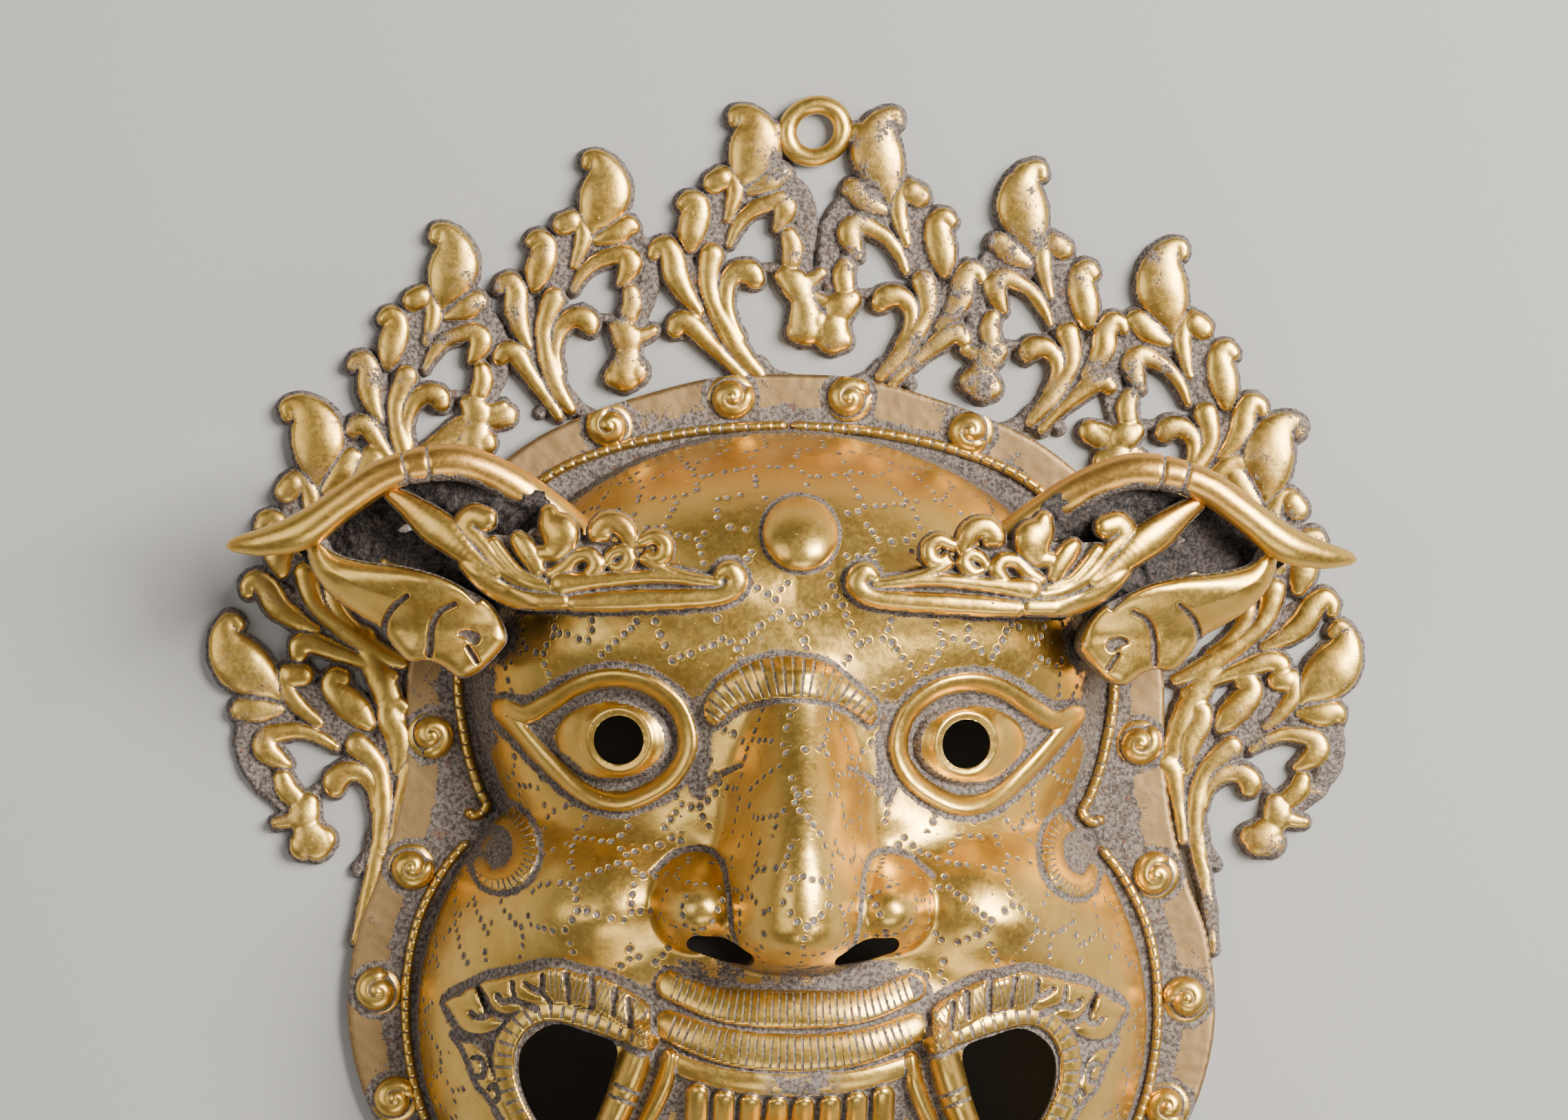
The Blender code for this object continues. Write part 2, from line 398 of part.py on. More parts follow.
def solid_from(name, sheet, edge, front, back, triangles):
    """Cuts a triangulated grid to where edge is positive, with its rim on the line itself, then
    extrudes it into a closed solid between the front and back heights."""
    tall, wide = sheet.x.shape
    x, y, f = sheet.x.ravel().copy(), sheet.y.ravel().copy(), edge.ravel().copy()
    index = np.arange(tall * wide).reshape(tall, wide)
    pairs = np.concatenate([
        np.stack([index[:, :-1].ravel(), index[:, 1:].ravel()], 1),
        np.stack([index[:-1].ravel(), index[1:].ravel()], 1),
        np.stack([index[:-1, :-1].ravel(), index[1:, 1:].ravel()], 1),
    ])
    pairs = pairs[(f[pairs[:, 0]] > 0) != (f[pairs[:, 1]] > 0)]
    share = f[pairs[:, 0]] / (f[pairs[:, 0]] - f[pairs[:, 1]])
    near = np.where(share <= 0.5, pairs[:, 0], pairs[:, 1])
    spot_x = x[pairs[:, 0]] + share * (x[pairs[:, 1]] - x[pairs[:, 0]])
    spot_y = y[pairs[:, 0]] + share * (y[pairs[:, 1]] - y[pairs[:, 0]])
    order = np.argsort(-np.minimum(share, 1 - share))
    x[near[order]] = spot_x[order]
    y[near[order]] = spot_y[order]
    f[near] = 0.0

    build = bmesh.new()
    bmesh.ops.create_grid(build, x_segments=wide - 1, y_segments=tall - 1, size=1.0)
    mark = build.verts.layers.int.new("spot")
    spots = np.array([vert.co[:2] for vert in build.verts])
    column = np.rint((spots[:, 0] + 1) / 2 * (wide - 1)).astype(int)
    row = np.rint((spots[:, 1] + 1) / 2 * (tall - 1)).astype(int)
    order = row * wide + column
    for vert, point in zip(build.verts, order):
        vert.co = (x[point], y[point], front.flat[point])
        vert[mark] = int(point)
    outside = [face for face in build.faces if all(f[vert[mark]] < 0 for vert in face.verts)]
    bmesh.ops.delete(build, geom=outside, context="FACES")
    for face in list(build.faces):
        corners = sorted(face.verts, key=lambda vert: vert[mark])
        bmesh.utils.face_split(face, corners[0], corners[3])
    gone = []
    for face in build.faces:
        values = [f[vert[mark]] for vert in face.verts]
        if min(values) < 0 or max(values) <= 0:
            gone.append(face)
    bmesh.ops.delete(build, geom=gone, context="FACES")
    loosen_pinches(build)
    parts = bmesh.ops.extrude_face_region(build, geom=list(build.faces), use_keep_orig=True)["geom"]
    for vert in parts:
        if isinstance(vert, bmesh.types.BMVert):
            vert.co.z = back.flat[vert[mark]]
            vert[mark] += tall * wide
    bmesh.ops.recalc_face_normals(build, faces=build.faces)
    put_in_order(build, mark)
    mesh = bpy.data.meshes.new(name)
    build.to_mesh(mesh)
    build.free()
    made = bpy.data.objects.new(name, mesh)
    work.objects.link(made)
    fewer = made.modifiers.new("Fewer faces", "DECIMATE")
    fewer.ratio = min(1.0, triangles / len(mesh.polygons))
    fewer.use_collapse_triangulate = True
    return settled(made)


def loosen_pinches(build):
    """Takes away the smaller side wherever two patches of faces meet in a single point."""
    found = True
    while found:
        found = False
        for vert in list(build.verts):
            if not vert.is_valid or sum(edge.is_boundary for edge in vert.link_edges) <= 2:
                continue
            faces = list(vert.link_faces)
            fans = []
            while faces:
                fan = [faces.pop()]
                for face in fan:
                    for edge in face.edges:
                        for other in edge.link_faces:
                            if vert in edge.verts and other in faces:
                                faces.remove(other)
                                fan.append(other)
                fans.append(fan)
            fans.sort(key=len)
            for fan in fans[:-1]:
                bmesh.ops.delete(build, geom=fan, context="FACES")
            found = True
    loose = [vert for vert in build.verts if not vert.link_faces]
    bmesh.ops.delete(build, geom=loose, context="VERTS")


def put_in_order(build, mark):
    """Sorts points, edges and faces by their place on the grid, so that they are always thinned alike."""
    build.verts.sort(key=lambda vert: vert[mark])
    build.verts.index_update()
    many = len(build.verts)

    def place(part):
        spots = sorted(vert.index for vert in part.verts)
        return (spots[0] * many + spots[1]) * many + spots[-1]

    build.edges.sort(key=place)
    build.faces.sort(key=place)


def settled(made):
    """Replaces an object's mesh by its evaluated form, in metres, and drops its modifiers."""
    graph = bpy.context.evaluated_depsgraph_get()
    mesh = bpy.data.meshes.new_from_object(made.evaluated_get(graph))
    made.modifiers.clear()
    made.data = mesh
    return made


def main_body():
    """Crown, band, rope, bosses and face shell, all in one open-backed casting."""
    sheet = Sheet(-136.5, 136.5, -149.5, 149.5, GRID_STEP)
    x, y = sheet.x, sheet.y
    web = sheet.level(-50.0)
    relief = sheet.level()
    for plume in PLUMES:
        for stroke in PLUME:
            sheet.stroke(place_plume(stroke, plume), edge=web, relief=relief, lift=1.2, grow=0.9)
        for stroke in PLUME_WEB:
            sheet.stroke(place_plume(stroke, plume), edge=web)
    for stroke in STEMS:
        sheet.stroke(stroke, edge=web, relief=relief, lift=0.9, grow=0.6)
    half = smooth_path(BAND_EDGE)
    ring_loop = np.vstack([half, (half * (-1, 1))[::-1][1:-1]])
    band = sheet.outline(ring_loop)
    ring_spot = (CROWN_SHIFT, HIGHEST - units(RING_BORE / 2 + RING_STOUT))
    ring = np.hypot(x - ring_spot[0], y - ring_spot[1]) - units(RING_BORE) / 2
    edge = np.minimum(np.maximum(web, band), ring - 1.2)

    front = sheet.level(units(CROWN_PLATE)) + relief
    plate = np.where(band > 0.6, units(BAND_PLATE), units(CROWN_PLATE))
    front = np.where(band > 0.2, np.maximum(plate, np.where(band > 2.0, 0.0, front)), front)
    cord = sheet.level()
    for path in both_sides([ROPE_TOP, ROPE_CHEEK]):
        sheet.stroke([(a, b, units(ROPE_DIAMETER) / 2) for a, b in path], relief=cord, lift=2.4)
    front = np.where(cord > 0.05, np.maximum(front, units(BAND_PLATE) + cord), front)
    radius = units(BOSS_DIAMETER) / 2
    for side in (1, -1):
        for a, b in BOSSES:
            away = np.hypot(x - side * a, y - b) / radius
            knob = units(BAND_PLATE) + 3.4 * np.sqrt(np.clip(1 - away**2, 0, None))
            knob = knob - 0.8 * np.exp(-(((away - 0.66) / 0.1) ** 2))
            front = np.where(away < 1, np.maximum(front, knob), front)

    form, face = carved_face(sheet)
    front = np.maximum(front, face)
    back = np.clip(hollow_back(sheet, form), 0.0, None)

    pupil = np.hypot(np.abs(x) - 39.2, y + 1.6) - units(PUPIL_BORE) / 2
    mouth = sheet.outline(loop_path(MOUTH_HOLE))
    mouth = np.maximum(mouth, sheet.outline(loop_path(mirrored(MOUTH_HOLE))))
    nostril = sheet.level(-50.0)
    for stroke in both_sides([NOSTRIL]):
        sheet.stroke(stroke, edge=nostril)
    edge = np.minimum(np.minimum(edge, pupil), np.minimum(-mouth, -nostril))
    return solid_from("mask", sheet, edge, front, back, BODY_TRIANGLES)


def side_body(side):
    """The ear and the flaming brow of one side, with the rough web the casting left behind them."""
    sheet = Sheet(-113.1, -9.1, 7.8, 62.4, 1.3)
    x, y = sheet.x, sheet.y
    web = sheet.level(-50.0)
    relief = sheet.level()
    for stroke in BROW:
        sheet.stroke(stroke, edge=web, relief=relief, lift=2.1, grow=0.7)
    for stroke in BROW_FIELD + RESIDUE:
        sheet.stroke(stroke, edge=web)
    ear = sheet.outline(loop_path(EAR_EDGE))
    for stroke in EAR:
        sheet.stroke(stroke, relief=relief, lift=1.2)
    edge = np.maximum(web, ear)
    lean = 57.5 - 0.0024 * (x + 15.0) ** 2
    drop = 8.0 * smoothstep(36.0, 22.0, y) * smoothstep(-58.0, -66.0, x)
    rough = np.where(np.maximum(relief, ear) > 0.2, 0.0, 3.5)
    front = lean - drop - rough + relief
    face_side = 1 - smoothstep(-62.0, -80.0, x)
    back = lean - drop - 3.5 - units(SIDE_PLATE) - 16.0 * face_side * smoothstep(-40.0, -56.0, x)
    back = np.minimum(back, front - units(SIDE_PLATE))
    made = solid_from("side", sheet, edge, front, back, SIDE_TRIANGLES)
    if side > 0:
        flip(made)
    return made


def flip(made):
    """Mirrors a mesh from left to right and keeps its faces outward."""
    build = bmesh.new()
    build.from_mesh(made.data)
    for vert in build.verts:
        vert.co.x = -vert.co.x
    bmesh.ops.reverse_faces(build, faces=build.faces)
    build.to_mesh(made.data)
    build.free()


def horn(side):
    """A round tapering horn that swings out from the brow over the band."""
    path = smooth_path(HORN, 2)
    curve = bpy.data.curves.new("horn", "CURVE")
    curve.dimensions = "3D"
    curve.bevel_depth = 1.0
    curve.bevel_resolution = 2
    curve.use_fill_caps = True
    spline = curve.splines.new("POLY")
    spline.points.add(len(path) - 1)
    for point, (a, b, c, r) in zip(spline.points, path):
        point.co = (-side * a, b, c, 1.0)
        point.radius = r
    made = bpy.data.objects.new("horn", curve)
    work.objects.link(made)
    graph = bpy.context.evaluated_depsgraph_get()
    mesh = bpy.data.meshes.new_from_object(made.evaluated_get(graph))
    bpy.data.objects.remove(made)
    build = bmesh.new()
    build.from_mesh(mesh)
    bmesh.ops.remove_doubles(build, verts=build.verts, dist=0.001)
    bmesh.ops.recalc_face_normals(build, faces=build.faces)
    build.to_mesh(mesh)
    build.free()
    solid = bpy.data.objects.new("horn", mesh)
    work.objects.link(solid)
    return solid


def hanging_ring():
    """The round ring at the top of the crown, lying on the same plane as the plumes."""
    stout = units(RING_STOUT)
    middle = units(RING_BORE) / 2 + stout / 2
    bpy.ops.mesh.primitive_torus_add(
        major_segments=18, minor_segments=8, major_radius=middle, minor_radius=stout / 2,
        location=(CROWN_SHIFT, HIGHEST - middle - stout / 2, stout / 2 - 0.02),
    )
    made = bpy.context.object
    made.name = "ring"
    bpy.ops.object.transform_apply(location=True)
    return made


def joined(body, others):
    """One casting from several closed solids."""
    for number, other in enumerate(others):
        union = body.modifiers.new(f"Join {number}", "BOOLEAN")
        union.operation = "UNION"
        union.solver = "MANIFOLD"
        union.object = other
    settled(body)
    for other in others:
        bpy.data.objects.remove(other)
    return body


def fill_pockets(build):
    """Closes the sealed pockets where a brow or a horn root lies over the forehead."""
    seen = set()
    pockets = []
    for start in build.verts:
        if start in seen:
            continue
        seen.add(start)
        island = [start]
        for vert in island:
            for edge in vert.link_edges:
                other = edge.other_vert(vert)
                if other not in seen:
                    seen.add(other)
                    island.append(other)
        faces = {face for vert in island for face in vert.link_faces}
        corners = [[vert.co for vert in face.verts] for face in faces]
        if sum(a.dot(b.cross(c)) for a, b, c in corners) < 0:
            pockets += island
    bmesh.ops.delete(build, geom=pockets, context="VERTS")


def finished(body):
    """Scales the drawing to metres, rests the back on the floor and centres the casting."""
    build = bmesh.new()
    build.from_mesh(body.data)
    bmesh.ops.dissolve_degenerate(build, edges=build.edges, dist=0.01)
    bmesh.ops.triangulate(build, faces=build.faces)
    fill_pockets(build)
    for vert in build.verts:
        if abs(vert.co.z) < 0.05:
            vert.co.z = 0.0
    spots = np.array([vert.co[:] for vert in build.verts])
    low, high = spots.min(axis=0), spots.max(axis=0)
    middle = (low + high) / 2
    for vert in build.verts:
        vert.co.x = (vert.co.x - middle[0]) * UNIT
        vert.co.y = (vert.co.y - middle[1]) * UNIT
        vert.co.z = (vert.co.z - low[2]) * UNIT
    build.to_mesh(body.data)
    build.free()
    body.data.shade_smooth()
    body.data.set_sharp_from_angle(angle=math.radians(40))
    return body


def brass():
    material = bpy.data.materials.new("cast brass")
    material.use_nodes = True
    shader = material.node_tree.nodes["Principled BSDF"]
    shader.inputs["Base Color"].default_value = (0.66, 0.33, 0.075, 1.0)
    shader.inputs["Metallic"].default_value = 1.0
    shader.inputs["Roughness"].default_value = 0.32
    return material


for left_over in list(bpy.data.objects):
    bpy.data.objects.remove(left_over, do_unlink=True)
work = bpy.data.collections.new("mahakala mask")
bpy.context.scene.collection.children.link(work)

mask = main_body()
mask = joined(mask, [side_body(-1), side_body(1), horn(-1), horn(1), hanging_ring()])
mask = finished(mask)
mask.name = "mask"
mask.data.materials.clear()
mask.data.materials.append(brass())
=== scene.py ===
# %% [markdown]
# # A cast brass guardian mask
#
# The mask is one hollow lost-wax casting that lies on its back rim and looks up.
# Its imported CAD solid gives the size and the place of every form. Here each form is drawn again on
# fine grids, so that the carving, the punched dots, the ticks and the old dirt show close to.
#
# Everything is drawn in millimetres and turned into metres when a mesh is made.
# +X is right, +Y runs up the face to the crown, +Z comes out of the face.

import itertools
import math

import bmesh
import bpy
import numpy as np
from mathutils import Matrix, Vector, kdtree


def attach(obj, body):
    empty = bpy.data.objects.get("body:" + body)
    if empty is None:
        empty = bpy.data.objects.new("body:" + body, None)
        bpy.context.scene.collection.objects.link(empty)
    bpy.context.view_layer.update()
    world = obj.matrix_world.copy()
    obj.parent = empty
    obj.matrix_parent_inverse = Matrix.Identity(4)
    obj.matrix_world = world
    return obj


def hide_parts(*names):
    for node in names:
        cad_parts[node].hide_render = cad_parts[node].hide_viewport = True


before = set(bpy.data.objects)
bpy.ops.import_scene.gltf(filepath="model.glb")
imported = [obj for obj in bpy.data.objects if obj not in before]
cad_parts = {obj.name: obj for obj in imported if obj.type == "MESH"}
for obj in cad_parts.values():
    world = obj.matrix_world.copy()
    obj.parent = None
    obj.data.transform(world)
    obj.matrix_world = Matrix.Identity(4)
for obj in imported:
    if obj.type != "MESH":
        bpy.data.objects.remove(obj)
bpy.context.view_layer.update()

# %% [markdown]
# ## The drawing
#
# A stroke is a list of (x, y, radius) points that a round brush follows. An outline is a list of
# (x, y) points. The main ones are the marks that the CAD part was drawn from. The cuts, the brow
# scrolls, the ear's rim and the outlines of the moustache leaves are finer and stand only here.

# %% Sizes and marks
WALL = 3.0
CROWN_PLATE = 2.6
BAND_PLATE = 4.2
SIDE_PLATE = 3.2
MM = 0.001
RING_BORE = 8.6
RING_STOUT = 4.0
PUPIL_BORE = 11.2
PUPIL = (39.2, -1.6)
THIRD_EYE = (1.0, 45.4)

FACE_STEP = 0.42
CROWN_STEP = 0.42
BAND_STEP = 0.5
SIDE_STEP = 0.36
BOSS_STEP = 0.26
INSIDE_STEP = 1.3
FACE_LOWEST = -149.0
FACE_HIGHEST = 90.0
SEAM = FACE_LOWEST + 303 * FACE_STEP
MARGIN = 33 * FACE_STEP
CELL = 8.8
DOT_PITCH = 2.1

HIGHEST = 147.2
CROWN_SHIFT = 5.1

PLUME_MID = (2.6, 25.3)
PLUME_TIP = (-5.8, 58.6)
PLUME = [
    [(-4.5, 56.0, 1.5), (-4.9, 57.4, 1.6), (-6.5, 57.2, 1.9), (-8.2, 55.1, 3.0), (-8.9, 52.0, 4.5),
     (-8.5, 48.8, 5.6), (-7.2, 45.6, 4.5), (-6.0, 42.4, 2.2), (-5.6, 40.0, 0.9)],
    [(-14.9, 41.4, 1.5), (-13.6, 41.8, 2.2), (-11.4, 40.3, 2.7), (-8.9, 39.1, 1.9), (-6.8, 38.3, 1.0)],
    [(1.1, 41.8, 2.4), (-0.4, 42.5, 2.5)],
    [(-1.2, 44.0, 1.2), (-2.9, 42.4, 1.6), (-3.5, 39.2, 1.8), (-2.8, 36.0, 1.5), (-1.5, 32.4, 0.9)],
    [(8.0, 37.8, 1.7), (6.8, 38.5, 2.0), (5.2, 37.2, 2.3), (5.8, 34.0, 3.1), (6.8, 30.8, 2.9),
     (7.5, 27.6, 1.5)],
    [(15.8, 27.0, 1.3), (15.0, 28.3, 1.6), (13.0, 28.4, 2.1), (11.8, 25.6, 2.5), (11.9, 22.0, 2.6),
     (10.9, 18.0, 2.0), (9.0, 13.8, 1.0)],
    [(15.2, 11.0, 1.8), (13.8, 12.3, 2.2), (11.6, 11.6, 2.2), (9.2, 8.0, 1.8), (6.6, 4.4, 1.4),
     (3.8, 0.6, 1.2), (1.8, -2.4, 1.0)],
    [(3.1, 24.7, 2.5), (4.4, 21.4, 2.2), (5.3, 17.4, 1.9), (5.0, 13.4, 1.8), (4.1, 9.4, 2.0),
     (2.8, 5.4, 2.0), (1.0, 2.0, 1.7), (-1.0, -0.8, 1.2)],
    [(-5.2, 18.3, 2.0), (-4.4, 19.9, 2.5), (-1.6, 20.4, 2.2), (1.1, 18.4, 1.9), (2.5, 15.0, 1.6),
     (2.7, 11.0, 1.3), (1.8, 7.4, 1.1)],
    [(-1.2, 26.6, 0.8), (-3.0, 29.8, 1.2), (-5.8, 32.8, 1.5), (-9.4, 34.4, 1.8), (-12.8, 35.0, 2.2),
     (-14.4, 33.0, 2.6), (-13.2, 30.0, 1.7), (-12.0, 28.3, 0.8)],
    [(-14.6, 26.4, 1.8), (-15.0, 23.8, 2.2), (-14.2, 21.2, 2.1)],
    [(-12.2, 18.0, 2.3), (-13.8, 15.8, 3.2), (-14.2, 12.8, 2.5), (-13.9, 9.6, 3.4), (-13.4, 7.2, 3.7)],
    [(-11.4, 6.8, 2.5), (-15.8, 8.0, 3.0)],
    [(-15.2, 15.8, 1.8), (-17.8, 16.6, 1.4), (-19.9, 17.6, 1.1)],
]
PLUME_WEB = [
    [(-5.8, 37.4, 2.6), (-1.8, 38.4, 3.4), (1.8, 35.4, 3.8), (1.4, 30.4, 3.6), (2.8, 26.9, 3.2)],
    [(9.6, 23.4, 2.4), (8.2, 18.4, 2.8), (7.6, 13.4, 2.6), (5.8, 7.4, 2.2)],
    [(-6.6, 20.6, 1.3), (-9.8, 20.0, 1.4), (-12.8, 19.7, 1.6)],
    [(-15.8, 38.8, 2.2), (-18.2, 34.4, 2.8), (-18.8, 28.4, 2.8), (-17.2, 22.4, 2.4), (-15.8, 17.4, 1.8)],
    [(-9.3, 43.9, 2.4), (-10.8, 37.4, 2.4), (-13.8, 37.4, 2.4)],
]
PLUME_FOOT = [
    [(-1.0, 2.0, 1.8), (-3.4, -1.4, 2.0), (-8.0, -3.4, 1.6)],
    [(3.0, 2.0, 1.8), (6.0, -1.8, 1.8)],
    [(-9.4, 36.6, 2.0), (-5.8, 32.6, 1.6), (-3.0, 29.0, 1.6)],
]

# Each plume: root, middle leaf top, hook top, and 1 for hooks to the right or -1 for the left.
PLUMES = [
    ((-8.2, 83.1), (-18.1, 110.5), (-12.5, 144.0), -1),
    ((22.1, 83.0), (30.3, 105.0), (22.9, 144.0), 1),
    ((-51.8, 74.6), (-54.4, 99.9), (-46.0, 133.2), -1),
    ((57.0, 72.9), (63.9, 93.4), (56.6, 132.2), 1),
    ((-86.5, 58.3), (-88.3, 81.4), (-81.0, 115.7), -1),
    ((88.5, 54.2), (96.3, 75.2), (89.5, 114.6), 1),
    ((-90.3, 14.7), (-111.1, 35.8), (-115.9, 75.0), -1),
    ((92.1, 13.0), (112.9, 34.6), (118.4, 73.9), 1),
    ((-93.3, -26.2), (-99.8, -4.3), (-129.7, 24.7), 1),
    ((95.3, -23.3), (104.3, -2.6), (129.8, 26.1), -1),
]
STEMS = [
    [(-93.3, -26.2, 2.2), (-96.8, -41.2, 1.8), (-99.0, -50.0, 1.2)],
    [(95.3, -23.3, 2.2), (98.4, -37.2, 1.8), (100.1, -50.2, 1.2)],
    [(-96.0, 62.0, 3.4), (-104.0, 50.0, 3.4), (-112.0, 42.0, 3.0)],
    [(98.0, 58.0, 3.4), (106.0, 48.0, 3.4), (114.0, 40.0, 3.0)],
    [(-98.0, 20.0, 3.2), (-92.0, 6.0, 3.4), (-89.0, -8.0, 2.6)],
    [(100.0, 18.0, 3.2), (93.0, 5.0, 3.4), (89.0, -8.0, 2.6)],
    [(-66.0, 72.0, 3.0), (-74.0, 70.0, 3.2), (-84.0, 62.0, 3.4)],
    [(70.0, 70.0, 3.0), (77.0, 66.0, 3.2), (87.0, 58.0, 3.4)],
    [(-10.0, 139.0, 3.0), (-4.0, 138.6, 2.4), (0.5, 138.6, 1.6)],
    [(20.0, 139.0, 3.0), (14.0, 138.6, 2.4), (9.7, 138.6, 1.6)],
]

BAND_EDGE = [
    (0.0, 82.5), (14.0, 82.0), (28.0, 79.0), (47.0, 72.6), (62.0, 64.6), (75.0, 51.6), (83.0, 33.0),
    (87.5, 14.0), (88.0, -4.0), (90.0, -20.0), (93.8, -34.0), (98.6, -47.0), (100.6, -66.0),
    (97.0, -84.0), (88.6, -101.0), (77.4, -117.0), (62.0, -130.5), (43.0, -140.5), (22.0, -146.0),
    (0.0, -147.2),
]
ROPE_TOP = [
    (0.0, 70.6), (20.0, 69.2), (40.0, 65.0), (55.0, 58.5), (66.0, 48.0), (73.0, 33.0), (76.0, 12.0),
    (74.0, -4.0), (71.0, -14.0), (69.0, -18.0), (71.5, -20.5), (74.5, -19.0),
]
ROPE_CHEEK = [
    (73.0, -26.0), (78.4, -32.7), (83.2, -41.5), (85.8, -50.0), (87.0, -60.0), (86.8, -72.0), (84.0, -86.0),
    (77.0, -102.0), (65.0, -117.0), (48.0, -129.5), (26.0, -137.2), (0.0, -139.8),
]
BOSSES = [
    (13.6, 77.0), (41.8, 69.9), (82.0, -2.1), (86.2, -32.6), (93.6, -61.3), (89.4, -86.2), (76.8, -109.2),
    (56.8, -127.0), (32.0, -138.6), (8.0, -143.2),
]

BROW = [
    [(-16.9, 36.3, 1.1), (-14.9, 36.9, 1.7), (-13.4, 34.7, 1.8), (-14.9, 32.3, 1.6), (-19.2, 30.9, 1.5),
     (-29.7, 30.3, 1.7), (-40.5, 29.8, 1.7), (-49.4, 29.2, 1.4)],
    [(-17.7, 34.1, 0.9), (-25.1, 35.0, 1.0), (-32.8, 35.3, 1.1), (-40.5, 34.7, 1.2), (-46.6, 34.1, 1.4),
     (-52.5, 33.5, 1.9)],
    [(-33.2, 40.3, 0.8), (-31.7, 39.4, 1.0), (-29.7, 40.3, 1.4), (-29.5, 42.7, 1.4), (-31.8, 44.3, 1.3),
     (-34.9, 43.1, 0.9)],
    [(-42.9, 44.3, 1.0), (-44.8, 44.9, 1.5), (-43.1, 47.2, 1.8), (-40.2, 47.2, 1.9), (-38.0, 45.2, 1.7),
     (-37.1, 42.1, 0.9)],
    [(-55.5, 49.2, 1.4), (-54.8, 46.6, 2.2), (-52.8, 44.6, 3.1), (-54.0, 40.9, 1.8), (-56.9, 40.3, 1.3)],
    [(-62.3, 43.4, 1.3), (-60.9, 41.8, 1.7), (-59.2, 39.1, 1.6), (-58.0, 36.9, 1.3)],
    [(-54.9, 35.7, 0.9), (-52.0, 37.2, 1.2), (-49.4, 39.7, 1.2), (-46.3, 40.0, 1.3), (-44.8, 37.8, 1.4),
     (-46.2, 36.0, 1.1)],
    [(-52.5, 29.5, 1.4), (-62.0, 30.0, 1.6), (-68.8, 33.2, 1.6), (-73.7, 37.8, 1.4)],
    [(-55.5, 32.3, 0.9), (-62.3, 34.1, 1.0), (-67.2, 38.1, 1.2), (-70.9, 42.4, 1.4), (-74.3, 45.8, 1.8),
     (-72.8, 48.4, 2.0), (-69.8, 47.7, 2.0)],
    [(-90.9, 53.2, 1.2), (-87.0, 50.6, 1.9), (-81.9, 46.6, 2.8), (-77.6, 43.6, 2.7), (-73.0, 39.5, 1.8),
     (-67.2, 35.4, 1.0)],
]
BROW_FIELD = [
    [(-17.0, 33.0, 2.6), (-30.0, 33.5, 4.6), (-45.0, 37.0, 7.0), (-58.0, 37.5, 6.6), (-70.0, 40.0, 4.4)],
]
EAR_EDGE = [
    (-108.2, 45.6), (-110.2, 42.0), (-109.4, 37.0), (-106.4, 32.0), (-102.5, 28.4), (-98.0, 25.6),
    (-93.5, 23.0), (-90.0, 18.4), (-86.6, 15.4), (-82.4, 15.6), (-79.2, 14.6), (-75.0, 11.8),
    (-71.0, 13.2), (-66.5, 17.5), (-64.5, 21.5), (-68.0, 28.5), (-74.0, 32.2), (-80.0, 35.0),
    (-88.0, 37.0), (-97.0, 38.0), (-103.4, 39.8), (-105.6, 42.8),
]
# Strokes of the gaps between horn, ear and brow, where a near-black sheet stands in as painted shade.
SHADE_FILL_STROKES = [
    [(-60.0, 50.0, 4.5), (-72.0, 52.0, 5.0), (-84.0, 52.5, 4.0), (-96.0, 47.0, 4.5), (-108.0, 42.0, 3.5)],
    [(-70.0, 30.0, 4.0), (-80.0, 37.0, 3.6), (-92.0, 41.5, 3.6), (-104.0, 42.0, 3.2)],
    [(-66.0, 38.0, 5.0), (-68.0, 48.0, 4.5), (-66.0, 54.0, 4.0)],
]
HORN = [
    (-44.0, 40.0, 29.0, 4.2), (-50.0, 45.4, 36.5, 4.3), (-56.5, 50.6, 41.0, 4.3),
    (-65.6, 56.6, 44.0, 4.3), (-75.0, 60.2, 45.4, 4.2), (-84.0, 59.8, 45.6, 4.0),
    (-92.6, 57.2, 45.0, 3.8), (-101.6, 51.2, 43.6, 4.0), (-110.6, 44.8, 41.0, 4.2),
    (-119.0, 42.2, 38.0, 3.3), (-124.6, 41.5, 35.6, 2.1), (-128.8, 41.0, 33.6, 0.7),
]

NOSTRIL = [(-21.5, -46.2, 2.2), (-16.0, -47.4, 2.8), (-10.6, -49.4, 1.8)]
VOLUTE = [
    (-75.5, -29.0, 1.8), (-73.0, -24.0, 2.0), (-68.1, -20.4, 2.2), (-64.0, -20.4, 2.4),
    (-60.8, -23.4, 2.6), (-60.2, -28.4, 2.8), (-63.1, -32.6, 2.6), (-67.8, -33.8, 2.2),
    (-70.0, -31.2, 1.7),
]
LID = [
    (-66.0, 4.8), (-60.2, 3.6), (-54.7, 6.6), (-48.1, 10.6), (-41.0, 12.4), (-33.2, 11.2), (-26.9, 6.8),
    (-24.1, 1.3), (-24.0, -4.3), (-27.5, -9.9), (-33.7, -14.0), (-39.8, -15.5), (-46.8, -13.6),
    (-54.5, -7.5), (-61.4, -0.6),
]
ROLL = [
    (-76.8, -61.0, 2.6), (-70.6, -58.6, 3.8), (-62.9, -57.3, 4.2), (-53.6, -56.1, 4.5),
    (-45.9, -57.1, 4.5), (-38.1, -60.5, 4.2), (-32.4, -64.0, 3.4), (-29.5, -69.7, 2.6),
]
LEAVES = [
    [(-74.6, -61.5, 2.6), (-71.2, -64.6, 3.0), (-71.0, -68.6, 2.4)],
    [(-76.0, -70.5, 2.2), (-71.4, -74.4, 2.6), (-69.4, -80.0, 2.4), (-68.0, -87.0, 2.0)],
    [(-67.0, -84.0, 2.4), (-64.6, -92.0, 2.6), (-60.0, -100.0, 2.4), (-54.0, -106.0, 1.8)],
]
